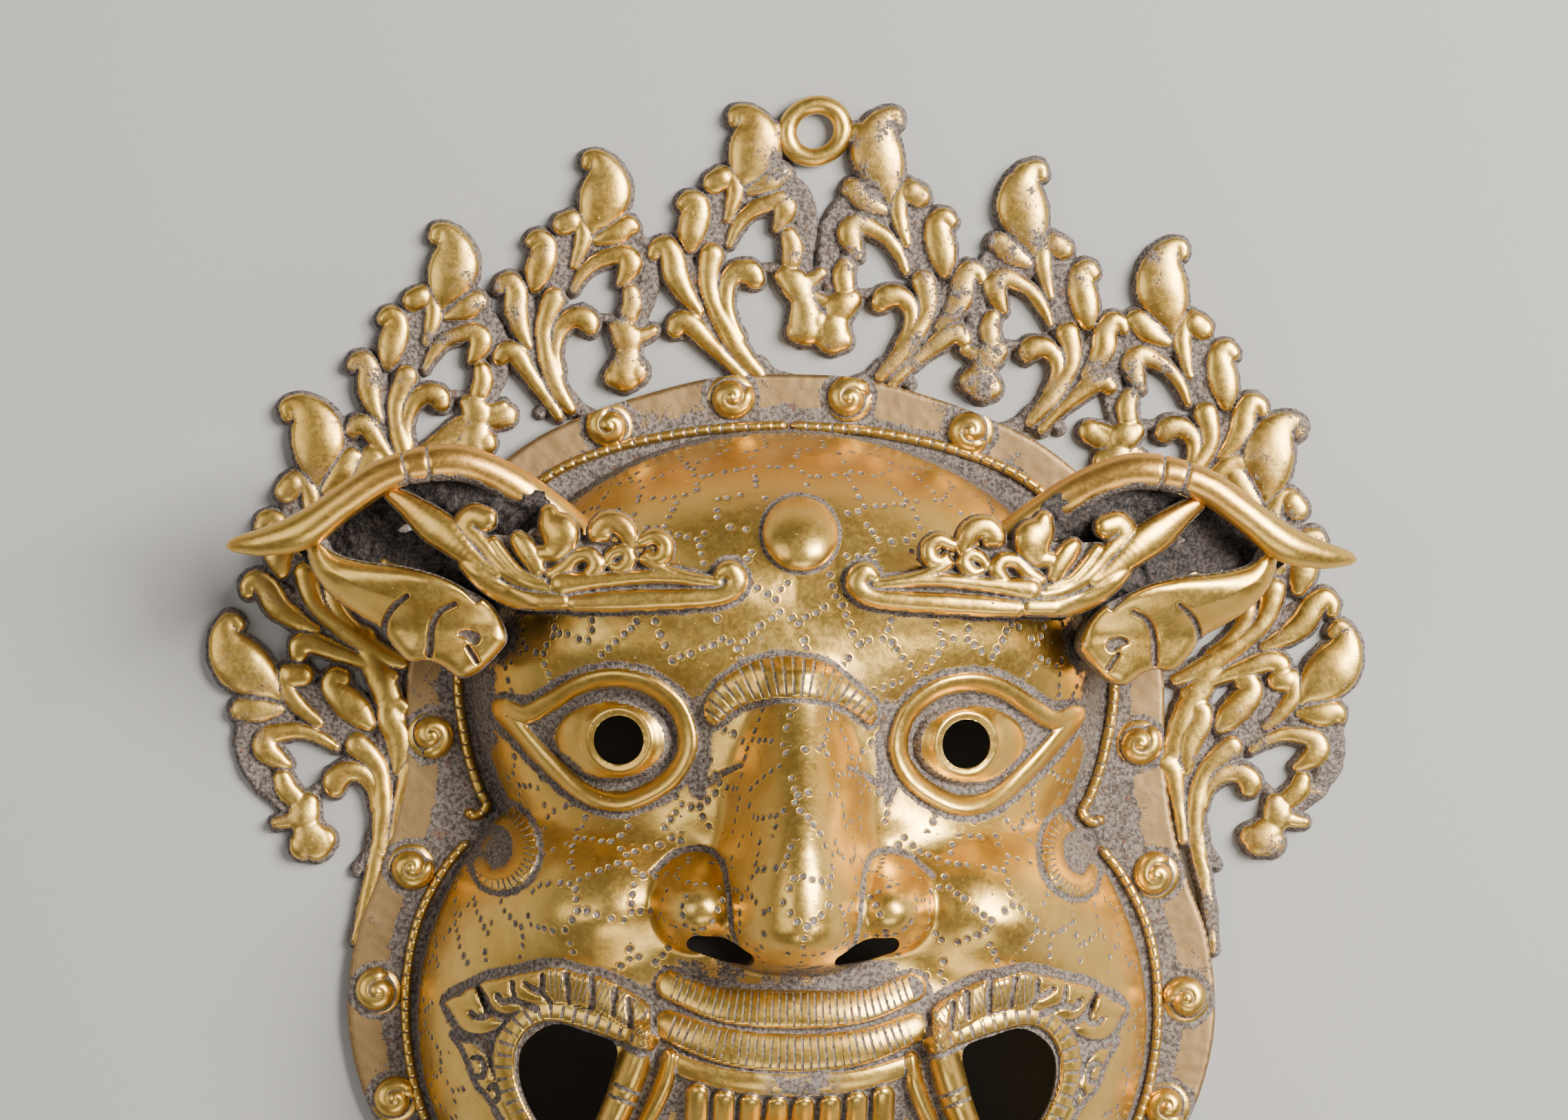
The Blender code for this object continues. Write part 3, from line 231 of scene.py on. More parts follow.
LIP_ROPE = [
    (-31.6, -68.0, 1.9), (-38.0, -66.2, 2.0), (-45.5, -63.9, 2.0), (-53.7, -62.4, 2.0),
    (-59.6, -64.6, 2.0), (-63.4, -69.7, 2.1), (-64.2, -76.5, 2.1), (-62.2, -83.7, 2.1),
    (-57.4, -92.0, 2.1), (-50.6, -99.4, 2.1), (-42.0, -104.6, 2.0), (-33.0, -107.4, 1.9),
]
MOUTH_HOLE = [(-53.2, -65.6), (-45.6, -67.0), (-38.9, -69.9), (-40.2, -78.0), (-43.4, -87.0), (-47.4, -94.4),
              (-52.4, -92.6), (-57.6, -86.4), (-60.6, -78.6), (-59.8, -70.6)]
FANG = [
    (-33.0, -66.5, 2.6), (-34.0, -70.5, 3.2), (-36.2, -77.5, 3.4), (-39.2, -85.5, 3.2),
    (-43.0, -93.5, 2.7), (-47.5, -101.0, 1.8),
]
SMALL_FANG = [(-27.0, -71.5, 1.4), (-28.2, -78.0, 1.9), (-31.6, -86.0, 1.7), (-34.8, -92.0, 1.2)]
LIP_BANDS = [
    [(-27.0, -56.0, 2.4), (-15.0, -59.8, 3.0), (0.0, -60.8, 3.2), (15.0, -59.8, 3.0), (27.0, -56.0, 2.4)],
    [(-27.5, -64.8, 2.6), (-15.0, -69.0, 3.2), (0.0, -70.4, 3.4), (15.0, -69.0, 3.2), (27.5, -64.8, 2.6)],
    [(-27.0, -72.8, 1.2), (-15.0, -76.4, 1.4), (0.0, -77.6, 1.5), (15.0, -76.4, 1.4), (27.0, -72.8, 1.2)],
]
LOWER_LIP = [(-34.0, -104.0, 2.4), (-24.0, -109.0, 3.4), (-12.0, -111.6, 3.8), (0.0, -112.4, 4.0),
             (12.0, -111.6, 3.8), (24.0, -109.0, 3.4), (34.0, -104.0, 2.4)]
TOOTH_PITCH = 5.95
TEETH_A_SIDE = 4
CREST_EDGE = [
    (-20.6, 5.2), (-19.0, 9.8), (-16.2, 13.0), (-9.6, 17.0), (-1.4, 18.2), (6.8, 16.8), (13.6, 11.6),
    (17.4, 8.6), (19.0, 5.4), (17.6, 2.6), (14.4, 4.2), (9.0, 7.4), (1.4, 8.6), (-6.6, 8.0), (-12.8, 5.8),
    (-18.0, 1.8),
]
CREST_HUB = (-0.6, -8.0)
CREST_LINES = 33
LEAF_EDGES = [
    [(-70.0, -56.9), (-65.7, -55.4), (-60.8, -54.0), (-57.0, -53.0), (-53.1, -52.0), (-50.2, -52.5),
     (-46.3, -53.5), (-42.4, -54.0), (-38.6, -55.7), (-33.7, -58.3), (-31.3, -60.3), (-30.8, -63.7),
     (-31.3, -67.5), (-32.3, -68.8), (-35.7, -67.1), (-39.5, -65.0), (-43.4, -62.9), (-47.3, -61.7),
     (-52.1, -61.7), (-57.0, -62.1), (-60.8, -63.3), (-63.7, -64.2), (-66.7, -63.2), (-69.1, -60.8)],
    [(-78.3, -62.7), (-76.8, -60.8), (-74.4, -59.8), (-73.0, -58.5), (-71.0, -57.8), (-69.8, -58.6),
     (-69.1, -61.2), (-67.4, -63.7), (-64.2, -65.4), (-65.7, -67.5), (-69.1, -69.0), (-72.5, -68.9),
     (-74.9, -67.5), (-76.5, -65.1)],
    [(-75.9, -69.5), (-74.4, -71.4), (-72.0, -75.8), (-70.5, -80.1), (-68.1, -82.5), (-66.2, -85.0),
     (-63.3, -89.8), (-59.9, -94.7), (-55.0, -99.5), (-53.1, -98.5), (-57.0, -93.7), (-60.8, -88.4),
     (-62.8, -84.0), (-65.2, -80.1), (-67.1, -75.8), (-68.6, -72.4), (-71.0, -70.7), (-73.9, -70.4)],
]
LEAF_CUTS = [
    [(-71.8, -64.0, 0.5), (-70.5, -65.0, 0.6), (-68.1, -64.1, 0.7), (-68.5, -60.8, 0.7), (-69.9, -58.8, 0.5)],
    [(-65.7, -59.8, 0.7), (-64.7, -60.9, 0.7), (-61.8, -60.5, 0.6), (-59.9, -61.1, 0.7), (-57.0, -62.2, 0.8)],
    [(-62.0, -60.0, 0.5), (-62.5, -56.4, 0.4)],
    [(-59.4, -56.5, 0.5), (-57.5, -57.7, 0.6), (-55.8, -58.0, 0.5), (-55.7, -54.5, 0.4)],
    [(-56.0, -57.8, 0.5), (-53.7, -60.8, 0.4)],
    [(-50.4, -54.0, 0.6), (-49.9, -57.4, 0.5), (-49.6, -60.6, 0.4)],
    [(-44.7, -54.6, 0.6), (-44.4, -58.3, 0.6), (-44.6, -61.7, 0.6)],
    [(-39.4, -57.1, 0.6), (-39.8, -62.7, 0.5)],
    [(-36.3, -59.3, 0.5), (-35.9, -65.1, 0.5)],
    [(-71.0, -74.3, 0.6), (-69.8, -74.2, 0.6), (-68.6, -75.8, 0.6), (-68.9, -78.2, 0.6), (-70.5, -78.5, 0.5)],
    [(-67.4, -81.1, 0.6), (-66.3, -80.1, 0.6), (-65.3, -82.6, 0.6), (-66.5, -84.5, 0.5)],
]
NOSE_CUTS = [
    [(-31.5, -31.0, 0.4), (-26.0, -26.4, 0.5), (-19.4, -25.6, 0.45), (-15.8, -28.8, 0.4),
     (-14.6, -36.0, 0.35), (-14.0, -42.0, 0.3), (-12.6, -46.6, 0.3)],
    [(-19.0, -10.6, 0.6), (-15.4, -8.4, 0.5), (-12.0, -6.6, 0.3)],
]
FANG_CUTS = [
    [(-39.2, -78.2, 0.1), (-36.4, -79.2, 0.2), (-33.8, -80.4, 0.1)],
    [(-40.4, -80.8, 0.1), (-37.4, -81.6, 0.2), (-35.0, -82.8, 0.1)],
]
EAR_CUTS = [
    [(-87.1, 30.3, 0.2), (-90.0, 27.9, 0.4), (-91.9, 25.0, 0.4), (-92.6, 21.6, 0.5)],
    [(-76.4, 28.7, 0.2), (-79.5, 27.0, 0.4), (-81.4, 23.5, 0.5), (-82.0, 17.1, 0.6)],
    [(-75.0, 21.9, 0.3), (-73.7, 21.9, 0.7), (-72.1, 21.1, 1.1), (-71.9, 20.6, 0.8)],
    [(-73.3, 19.0, 0.1), (-71.2, 15.7, 0.1)],
]
BROW_SCROLLS = [
    [(-22.3, 35.4, 0.5), (-28.5, 36.3, 0.9), (-34.0, 39.1, 0.8)],
    [(-42.6, 38.1, 0.6), (-41.4, 40.3, 0.9), (-38.9, 41.2, 1.1), (-37.4, 39.4, 1.2), (-39.2, 37.2, 1.1),
     (-41.4, 37.5, 0.6)],
    [(-56.5, 33.8, 0.6), (-61.7, 35.7, 0.8), (-65.4, 39.4, 0.9), (-67.8, 42.7, 0.9)],
]
EAR_RIM = [
    (-106.0, 42.5, 0.8), (-102.1, 40.4, 1.1), (-94.9, 39.4, 1.2), (-87.1, 38.4, 1.3), (-80.3, 36.7, 1.2),
    (-74.9, 33.6, 0.9), (-71.5, 29.9, 0.6),
]

print("marks:", len(PLUMES), "plumes,", 2 * len(BOSSES), "bosses")

# %% [markdown]
# ## Drawing tools
#
# Paths are Catmull-Rom curves. A `Sheet` is a regular grid of points that strokes are painted on:
# `edge` collects the distance inside the painted area, `relief` its rounded height, and `ticks`
# how far along the stroke a point lies, for the cuts that run across it.


# %% Paths and blends
def mirrored(points):
    return [(-p[0],) + tuple(p[1:]) for p in points]


def thicker(stroke, times):
    return [(x, y, times * radius) for x, y, radius in stroke]


def both_sides(strokes):
    return list(strokes) + [mirrored(stroke) for stroke in strokes]


def curve(a, b, c, d, t):
    """The Catmull-Rom curve from b to c."""
    square = (2 * a - 5 * b + 4 * c - d) * t**2
    cube = (3 * b - a - 3 * c + d) * t**3
    return 0.5 * (2 * b + (c - a) * t + square + cube)


def smooth_path(points, steps=4):
    """A Catmull-Rom curve through control points of any width."""
    p = np.array(points, float)
    p = np.vstack([2 * p[0] - p[1], p, 2 * p[-1] - p[-2]])
    t = np.arange(steps)[:, None] / steps
    parts = []
    for a, b, c, d in zip(p[:-3], p[1:-2], p[2:-1], p[3:]):
        parts.append(curve(a, b, c, d, t))
    parts.append(p[-2][None])
    return np.vstack(parts)


def loop_path(points, steps=4):
    """A closed smooth outline through control points."""
    p = np.array(points, float)
    n = len(p)
    t = np.arange(steps)[:, None] / steps
    parts = []
    for i in range(n):
        a, b, c, d = p[i - 1], p[i], p[(i + 1) % n], p[(i + 2) % n]
        parts.append(curve(a, b, c, d, t))
    return np.vstack(parts)


def smooth_max(a, b, blend):
    return 0.5 * (a + b + np.sqrt((a - b) ** 2 + blend**2))


def smoothstep(low, high, value):
    t = np.clip((value - low) / (high - low), 0.0, 1.0)
    return t * t * (3 - 2 * t)


def mottle(x, y, size, seed):
    """Smooth random unevenness from -1 to 1 in patches of about that size. The seed fixes it."""
    dice = np.random.RandomState(seed).uniform(-1, 1, (256, 256))
    u, v = x / size, y / size
    i, j = np.floor(u).astype(int), np.floor(v).astype(int)
    s, t = u - i, v - j
    s = s * s * (3 - 2 * s)
    t = t * t * (3 - 2 * t)
    i0, i1, j0, j1 = i % 256, (i + 1) % 256, j % 256, (j + 1) % 256
    low_row = dice[j0, i0] * (1 - s) + dice[j0, i1] * s
    high_row = dice[j1, i0] * (1 - s) + dice[j1, i1] * s
    return low_row * (1 - t) + high_row * t


def blurred(field, reach):
    """A soft blur: three running means, each reaching that many points to either side."""
    n = max(1, int(round(reach)))
    for _ in range(3):
        for axis in (0, 1):
            width = [(n + 1, n) if a == axis else (0, 0) for a in (0, 1)]
            sums = np.cumsum(np.pad(field, width, mode="edge"), axis=axis)
            span = 2 * n + 1
            if axis == 0:
                field = (sums[span:] - sums[:-span]) / span
            else:
                field = (sums[:, span:] - sums[:, :-span]) / span
    return field


# %% The sheet
def to_segment(x, y, dx, dy):
    """The share along a segment from the origin that lies nearest to a point, and how far off it is."""
    t = np.clip((x * dx + y * dy) / max(dx * dx + dy * dy, 1e-9), 0.0, 1.0)
    return t, np.hypot(x - dx * t, y - dy * t)


class Sheet:
    """A regular grid of points on which outlines and reliefs are drawn."""

    def __init__(self, x0, x1, y0, y1, step):
        self.step = step
        self.xs = np.arange(round((x1 - x0) / step) + 1) * step + x0
        self.ys = np.arange(round((y1 - y0) / step) + 1) * step + y0
        self.x, self.y = np.meshgrid(self.xs, self.ys)

    def level(self, value=0.0):
        return np.full(self.x.shape, float(value))

    def window(self, x0, x1, y0, y1):
        columns = slice(*np.searchsorted(self.xs, (x0, x1)))
        rows = slice(*np.searchsorted(self.ys, (y0, y1)))
        return rows, columns

    def stroke(self, points, edge=None, relief=None, lift=1.0, grow=0.0, steps=4, top=0.6,
               ticks=None, pitch=1.0):
        """Draws a brush stroke. A smaller top makes it flatter."""
        path = smooth_path(points, steps)
        path[:, 2] = np.maximum(path[:, 2], 0.3)
        travelled = 0.0
        for (ax, ay, ar), (bx, by, br) in zip(path[:-1], path[1:]):
            reach = max(ar, br) + grow + 4.0
            left, right = min(ax, bx) - reach, max(ax, bx) + reach
            here = self.window(left, right, min(ay, by) - reach, max(ay, by) + reach)
            t, d = to_segment(self.x[here] - ax, self.y[here] - ay, bx - ax, by - ay)
            r = ar + (br - ar) * t
            length = math.hypot(bx - ax, by - ay)
            if edge is not None:
                edge[here] = np.maximum(edge[here], r + grow - d)
            if relief is not None:
                height = lift * np.sqrt(r) * np.clip(1 - (d / (r + 0.35)) ** 2, 0, 1) ** top
                if ticks is not None:
                    wins = (height > relief[here]) & (d < r - 0.1)
                    ticks[here] = np.where(wins, (travelled + t * length) / pitch + 1.0, ticks[here])
                relief[here] = np.maximum(relief[here], height)
            travelled += length

    def outline(self, loop):
        """The signed distance to a closed outline, positive inside and worked out near it only."""
        loop = np.array(loop)[:, :2]
        low, high = loop.min(axis=0) - 9.0, loop.max(axis=0) + 9.0
        here = self.window(low[0], high[0], low[1], high[1])
        gx, gy = self.x[here], self.y[here]
        nearest = np.full(gx.shape, 1e9)
        crossings = np.zeros(gx.shape, int)
        for (ax, ay), (bx, by) in zip(loop, np.roll(loop, -1, axis=0)):
            _, d = to_segment(gx - ax, gy - ay, bx - ax, by - ay)
            np.minimum(nearest, d, out=nearest)
            if ay != by:
                spans = (ay > gy) != (by > gy)
                crossings += spans & (gx < ax + (gy - ay) * (bx - ax) / (by - ay))
        found = self.level(-9.0)
        found[here] = np.where(crossings % 2 == 1, nearest, -nearest)
        return found

    def smooth_outline(self, points):
        return self.outline(loop_path(points))

    def both_outlines(self, points):
        """The same for an outline and its mirror image together."""
        return np.maximum(self.smooth_outline(points), self.smooth_outline(mirrored(points)))


def hollows(sheet, height, width=1.0):
    """How far points lie below what is around them, at two reaches: 0 is proud, 1 is a recess."""
    fine = np.clip(blurred(height, 0.6 * width / sheet.step) - height - 0.03, 0, None) / 0.20
    middle = np.clip(blurred(height, 1.5 * width / sheet.step) - height - 0.15, 0, None) / 0.60
    return 1 - (1 - np.clip(0.9 * fine, 0, 1)) * (1 - np.clip(middle, 0, 1))


def near_strokes(sheet, strokes, reach):
    """1 on the strokes, falling to 0 at that reach outside them."""
    away = sheet.level(-50.0)
    for stroke in strokes:
        sheet.stroke(stroke, edge=away)
    return smoothstep(-reach, 0.0, away)


def raised(sheet, loop, height, rounding):
    """A flat-topped relief over a closed outline, with rounded edges."""
    inward = np.clip(sheet.smooth_outline(loop) / rounding, 0, 1)
    return height * np.sqrt(1 - (1 - inward) ** 2)


# %% [markdown]
# ## From sheets to meshes
#
# A piece starts as a grid from Blender's own operator. Its points are moved onto the drawing, the
# cells outside the edge are deleted, and the rim is extruded down. Each point keeps its number on
# the sheet, so its height and its dirt can be looked up at the end.


# %% Meshes
def cut_grid(sheet, edge):
    """A grid cut to where edge is positive, with its rim on the line itself."""
    tall, wide = sheet.x.shape
    x, y, f = sheet.x.ravel().copy(), sheet.y.ravel().copy(), edge.ravel().copy()
    index = np.arange(tall * wide).reshape(tall, wide)
    pairs = np.concatenate([
        np.stack([index[:, :-1].ravel(), index[:, 1:].ravel()], 1),
        np.stack([index[:-1].ravel(), index[1:].ravel()], 1),
        np.stack([index[:-1, :-1].ravel(), index[1:, 1:].ravel()], 1),
    ])
    pairs = pairs[(f[pairs[:, 0]] > 0) != (f[pairs[:, 1]] > 0)]
    share = f[pairs[:, 0]] / (f[pairs[:, 0]] - f[pairs[:, 1]])
    near = np.where(share <= 0.5, pairs[:, 0], pairs[:, 1])
    spot_x = x[pairs[:, 0]] + share * (x[pairs[:, 1]] - x[pairs[:, 0]])
    spot_y = y[pairs[:, 0]] + share * (y[pairs[:, 1]] - y[pairs[:, 0]])
    order = np.argsort(-np.minimum(share, 1 - share), kind="stable")
    x[near[order]] = spot_x[order]
    y[near[order]] = spot_y[order]
    f[near] = 0.0

    grid = f.reshape(tall, wide)
    corners = np.stack([grid[:-1, :-1], grid[:-1, 1:], grid[1:, 1:], grid[1:, :-1]]).reshape(4, -1)
    least, most = corners.min(axis=0), corners.max(axis=0)
    build = bmesh.new()
    bmesh.ops.create_grid(build, x_segments=wide - 1, y_segments=tall - 1, size=1.0)
    mark = build.verts.layers.int.new("spot")
    build.verts.layers.int.new("under")
    for number, vert in enumerate(build.verts):
        vert[mark] = number
    faces = list(build.faces)
    gone = [face for face, away in zip(faces, most <= 0) if away]
    for face in [face for face, mixed in zip(faces, (least < 0) & (most > 0)) if mixed]:
        ends = sorted(face.verts, key=lambda vert: vert[mark])
        other = bmesh.utils.face_split(face, ends[0], ends[3])[0]
        for half in (face, other):
            values = [f[vert[mark]] for vert in half.verts]
            if min(values) < 0 or max(values) <= 0:
                gone.append(half)
    bmesh.ops.delete(build, geom=gone, context="FACES")
    bmesh.ops.delete(build, geom=[vert for vert in build.verts if not vert.link_faces], context="VERTS")
    return build, x, y


def loosen_pinches(build):
    """Takes away the smaller side wherever two patches of faces meet in a single point."""
    found = True
    while found:
        found = False
        for vert in [vert for vert in build.verts if vert.is_boundary]:
            if not vert.is_valid or sum(edge.is_boundary for edge in vert.link_edges) <= 2:
                continue
            faces = list(vert.link_faces)
            fans = []
            while faces:
                fan = [faces.pop()]
                for face in fan:
                    for edge in face.edges:
                        for other in edge.link_faces:
                            if vert in edge.verts and other in faces:
                                faces.remove(other)
                                fan.append(other)
                fans.append(fan)
            fans.sort(key=len)
            for fan in fans[:-1]:
                bmesh.ops.delete(build, geom=fan, context="FACES")
            found = True
    bmesh.ops.delete(build, geom=[vert for vert in build.verts if not vert.link_faces], context="VERTS")


pieces = []


def finish_piece(name, mesh, marks):
    """Gives a mesh its dirt, painted shade and tick marks, and makes it a piece of the mask."""
    for key, values in marks.items():
        layer = mesh.attributes.new(key, "FLOAT", "POINT")
        layer.data.foreach_set("value", np.ascontiguousarray(values, dtype=np.float32))
    made = bpy.data.objects.new(name, mesh)
    bpy.context.scene.collection.objects.link(made)
    pieces.append(made)
    print(f"{name}: {sum(len(p.vertices) - 2 for p in mesh.polygons)} triangles")
    return made


def sheet_piece(name, sheet, edge, front, back, marks, closing):
    """A piece from a sheet. closing is "skirt" for a rim wall only, "floor" for a rim wall and a
    flat underside, and "full" for an underside as fine as the front."""
    build, x, y = cut_grid(sheet, edge)
    loosen_pinches(build)
    under = build.verts.layers.int["under"]
    rim = [rim_edge for rim_edge in build.edges if rim_edge.is_boundary]
    for rim_edge in rim:
        rim_edge.smooth = False
    if closing == "full":
        parts = bmesh.ops.extrude_face_region(build, geom=list(build.faces), use_keep_orig=True)["geom"]
    else:
        parts = bmesh.ops.extrude_edge_only(build, edges=rim)["geom"]
    for part in parts:
        if isinstance(part, bmesh.types.BMVert):
            part[under] = 1
    if closing == "floor":
        mark = build.verts.layers.int["spot"]
        for vert in build.verts:
            vert.co = (x[vert[mark]], y[vert[mark]], 0.0 if vert[under] else 5.0)
        rim = [rim_edge for rim_edge in build.edges if rim_edge.is_boundary]
        bmesh.ops.triangle_fill(build, use_beauty=False, use_dissolve=False, edges=rim, normal=(0, 0, -1))
    bmesh.ops.recalc_face_normals(build, faces=build.faces)
    for face in build.faces:
        face.smooth = True
    mesh = bpy.data.meshes.new(name)
    build.to_mesh(mesh)
    build.free()
    count = len(mesh.vertices)
    spot = np.zeros(count, np.int32)
    mesh.attributes["spot"].data.foreach_get("value", spot)
    low_side = np.zeros(count, np.int32)
    mesh.attributes["under"].data.foreach_get("value", low_side)
    mesh.attributes.remove(mesh.attributes["spot"])
    mesh.attributes.remove(mesh.attributes["under"])
    z = np.where(low_side == 1, back.ravel()[spot], front.ravel()[spot])
    spots = np.stack([x[spot], y[spot], z], 1) * MM
    mesh.vertices.foreach_set("co", spots.ravel().astype(np.float32))
    mesh.update()
    upward = sum(p.normal.z * p.area for p in list(mesh.polygons)[:400])
    if closing == "skirt" and upward < 0:
        mesh.flip_normals()
    picked = {key: field.ravel()[spot] for key, field in marks.items()}
    return finish_piece(name, mesh, picked)


def ribbon_piece(name, rows, marks, closed_round=False):
    """A piece from rows of points: rows is (along, across, 3) in mm. closed_round joins the last
    point of each row to the first, for tubes."""
    along, across = rows.shape[:2]
    build = bmesh.new()
    bmesh.ops.create_grid(build, x_segments=across - 1, y_segments=along - 1, size=1.0)
    flat = rows.reshape(-1, 3)
    for vert, spot in zip(build.verts, flat):
        vert.co = spot
    if closed_round:
        ends = list(build.verts)
        targets = {ends[row * across + across - 1]: ends[row * across] for row in range(along)}
        bmesh.ops.weld_verts(build, targetmap=targets)
        keep = np.arange(along * across).reshape(along, across)[:, :-1].ravel()
    else:
        keep = np.arange(along * across)
    bmesh.ops.recalc_face_normals(build, faces=build.faces)
    for vert in build.verts:
        vert.co *= MM
    mesh = bpy.data.meshes.new(name)
    build.to_mesh(mesh)
    build.free()
    mesh.shade_smooth()
    return finish_piece(name, mesh, {key: field.reshape(-1)[keep] for key, field in marks.items()})


def place_plume(points, plume):
    """Carries a stroke of the plume drawing to its place: a turn and a scale from root to tip,
    then a push that brings the middle leaf to its own mark."""
    root, mid, tip, hand = plume
    turn = complex(tip[0] - root[0], tip[1] - root[1]) / complex(hand * PLUME_TIP[0], PLUME_TIP[1])
    push = complex(*mid) - complex(*root) - turn * complex(hand * PLUME_MID[0], PLUME_MID[1])
    placed = []
    for x, y, r in points:
        if y < PLUME_MID[1]:
            share = float(smoothstep(0.0, PLUME_MID[1], y))
        else:
            share = float(smoothstep(PLUME_TIP[1], PLUME_MID[1], y))
        spot = complex(*root) + turn * complex(hand * x, y) + push * share
        placed.append((spot.real, spot.imag, r * min(abs(turn), 1.06)))
    return placed


# %% [markdown]
# ## The face
#
# The broad form is two domes with a nose, cheeks and sockets blended in. Lids, lips, moustache,
# teeth and fangs are strokes on top of it.


# %% The form of the face
def dome(x, y, centre, half_width, half_height, top, shell=0.0):
    """A rounded dome over an ellipse. A shell makes it smaller all round by that much."""
    a = half_width - shell
    b = half_height - shell
    q = np.sqrt((x / a) ** 2 + ((y - centre) / b) ** 2)
    inside = np.clip(1 - q**3.2, 0, None) ** 0.6
    return (top - shell) * np.where(q < 1, inside, (1 - q) * 2.2)


def bump(x, y, cx, cy, rx, ry, power=1.0):
    """A soft swelling that is 1 at its centre."""
    q = ((np.abs(x) - cx) / rx) ** 2 + ((y - cy) / ry) ** 2
    return np.exp(-(q**power))


def head(x, y, shell=0.0):
    """The broad form of the face with no carving: forehead, temples, cheeks and jaw."""
    upper = dome(x, y, 10.0, 73.5, 60.0, 56.0, shell)
    lower = dome(x, y, -66.5, 85.5, 73.0, 54.0, shell)
    return smooth_max(upper, lower, 5.0) - 1.0


def nose(x, y):
    """The nose as its own height, low outside its ridge."""
    down = smoothstep(22.0, -38.0, y)
    half = 16.4 + 2.0 * down - 2.6 * np.exp(-(((y + 22.0) / 7.5) ** 2))
    top = 60.0 + 28.5 * down - 20.0 * smoothstep(-41.0, -56.0, y) ** 1.4
    ridge = top - 30.0 * (np.abs(x - 0.8) / half) ** 2.1 - 60.0 * smoothstep(14.0, 34.0, y)
    under = 26.0 * smoothstep(-49.0, -57.0, y) + 90.0 * smoothstep(-54.0, -76.0, y)
    wing = 74.0 - 22.0 * (((np.abs(x) - 21.0) / 11.3) ** 2 + ((y + 38.2) / 10.6) ** 2) ** 1.2
    return smooth_max(ridge - under, wing, 6.0) - 0.8


def broad_face(x, y):
    """The face before its strokes are laid on."""
    face = head(x, y)
    face = face + 5.0 * bump(x, y, 34.0, 33.0, 24.0, 7.0)
    face = face - 9.5 * bump(x, y, 42.0, -1.0, 25.0, 16.0, 1.6)
    face = face + 13.0 * bump(x, y, 48.0, -36.0, 20.0, 15.0, 1.3)
    face = face + 8.0 * bump(x, y, 0.0, -70.0, 34.0, 18.0, 1.6)
    face = face - 6.0 * bump(x, y, 0.0, -96.0, 30.0, 12.0, 1.6)
    face = face + 15.0 * bump(x, y, 0.0, -124.0, 21.0, 8.5, 1.3)
    face = face - 4.0 * bump(x, y, 0.0, -116.0, 40.0, 2.5)
    face = smooth_max(face, nose(x, y), 4.0 + 6.0 * np.exp(-(((y + 22.0) / 9.0) ** 2)))
    mound = 8.8**2 - (x - THIRD_EYE[0]) ** 2 - (y - THIRD_EYE[1]) ** 2
    face = face + 0.75 * np.sqrt(np.clip(mound, 0, None))
    ball = 1 - ((np.abs(x) - 40.4) / 13.0) ** 2 - ((y + 1.6) / 9.6) ** 2
    face = face + 6.0 * np.clip(ball, 0, None) ** 0.5
    iris = np.hypot(np.abs(x) - PUPIL[0], y - PUPIL[1])
    return face + 0.9 * np.exp(-(((iris - 7.2) / 1.0) ** 2))


def shell_inside(x, y):
    """Where the inside of the head's shell meets the back: 0 on the line, more towards the middle."""
    return head(x, y, 1.15 * WALL) + 3.0


def hollow_back(sheet, front):
    """The inside of the shell: the wall's thickness under the broad form, and open at the back."""
    rows, columns = np.gradient(front, sheet.ys, sheet.xs)
    lean = np.sqrt(1 + np.clip(rows**2 + columns**2, 0, 5.0))
    inside = blurred(front - WALL * lean, 2.4 / sheet.step) - 1.2
    return np.minimum(shell_inside(sheet.x, sheet.y), np.minimum(inside, front - 1.2))


def lid_strokes():
    """The rolled rims of both eyes, each a closed loop."""
    lid = [(a, b, 2.15) for a, b in loop_path(LID)]
    return both_sides([lid + [lid[0]]])


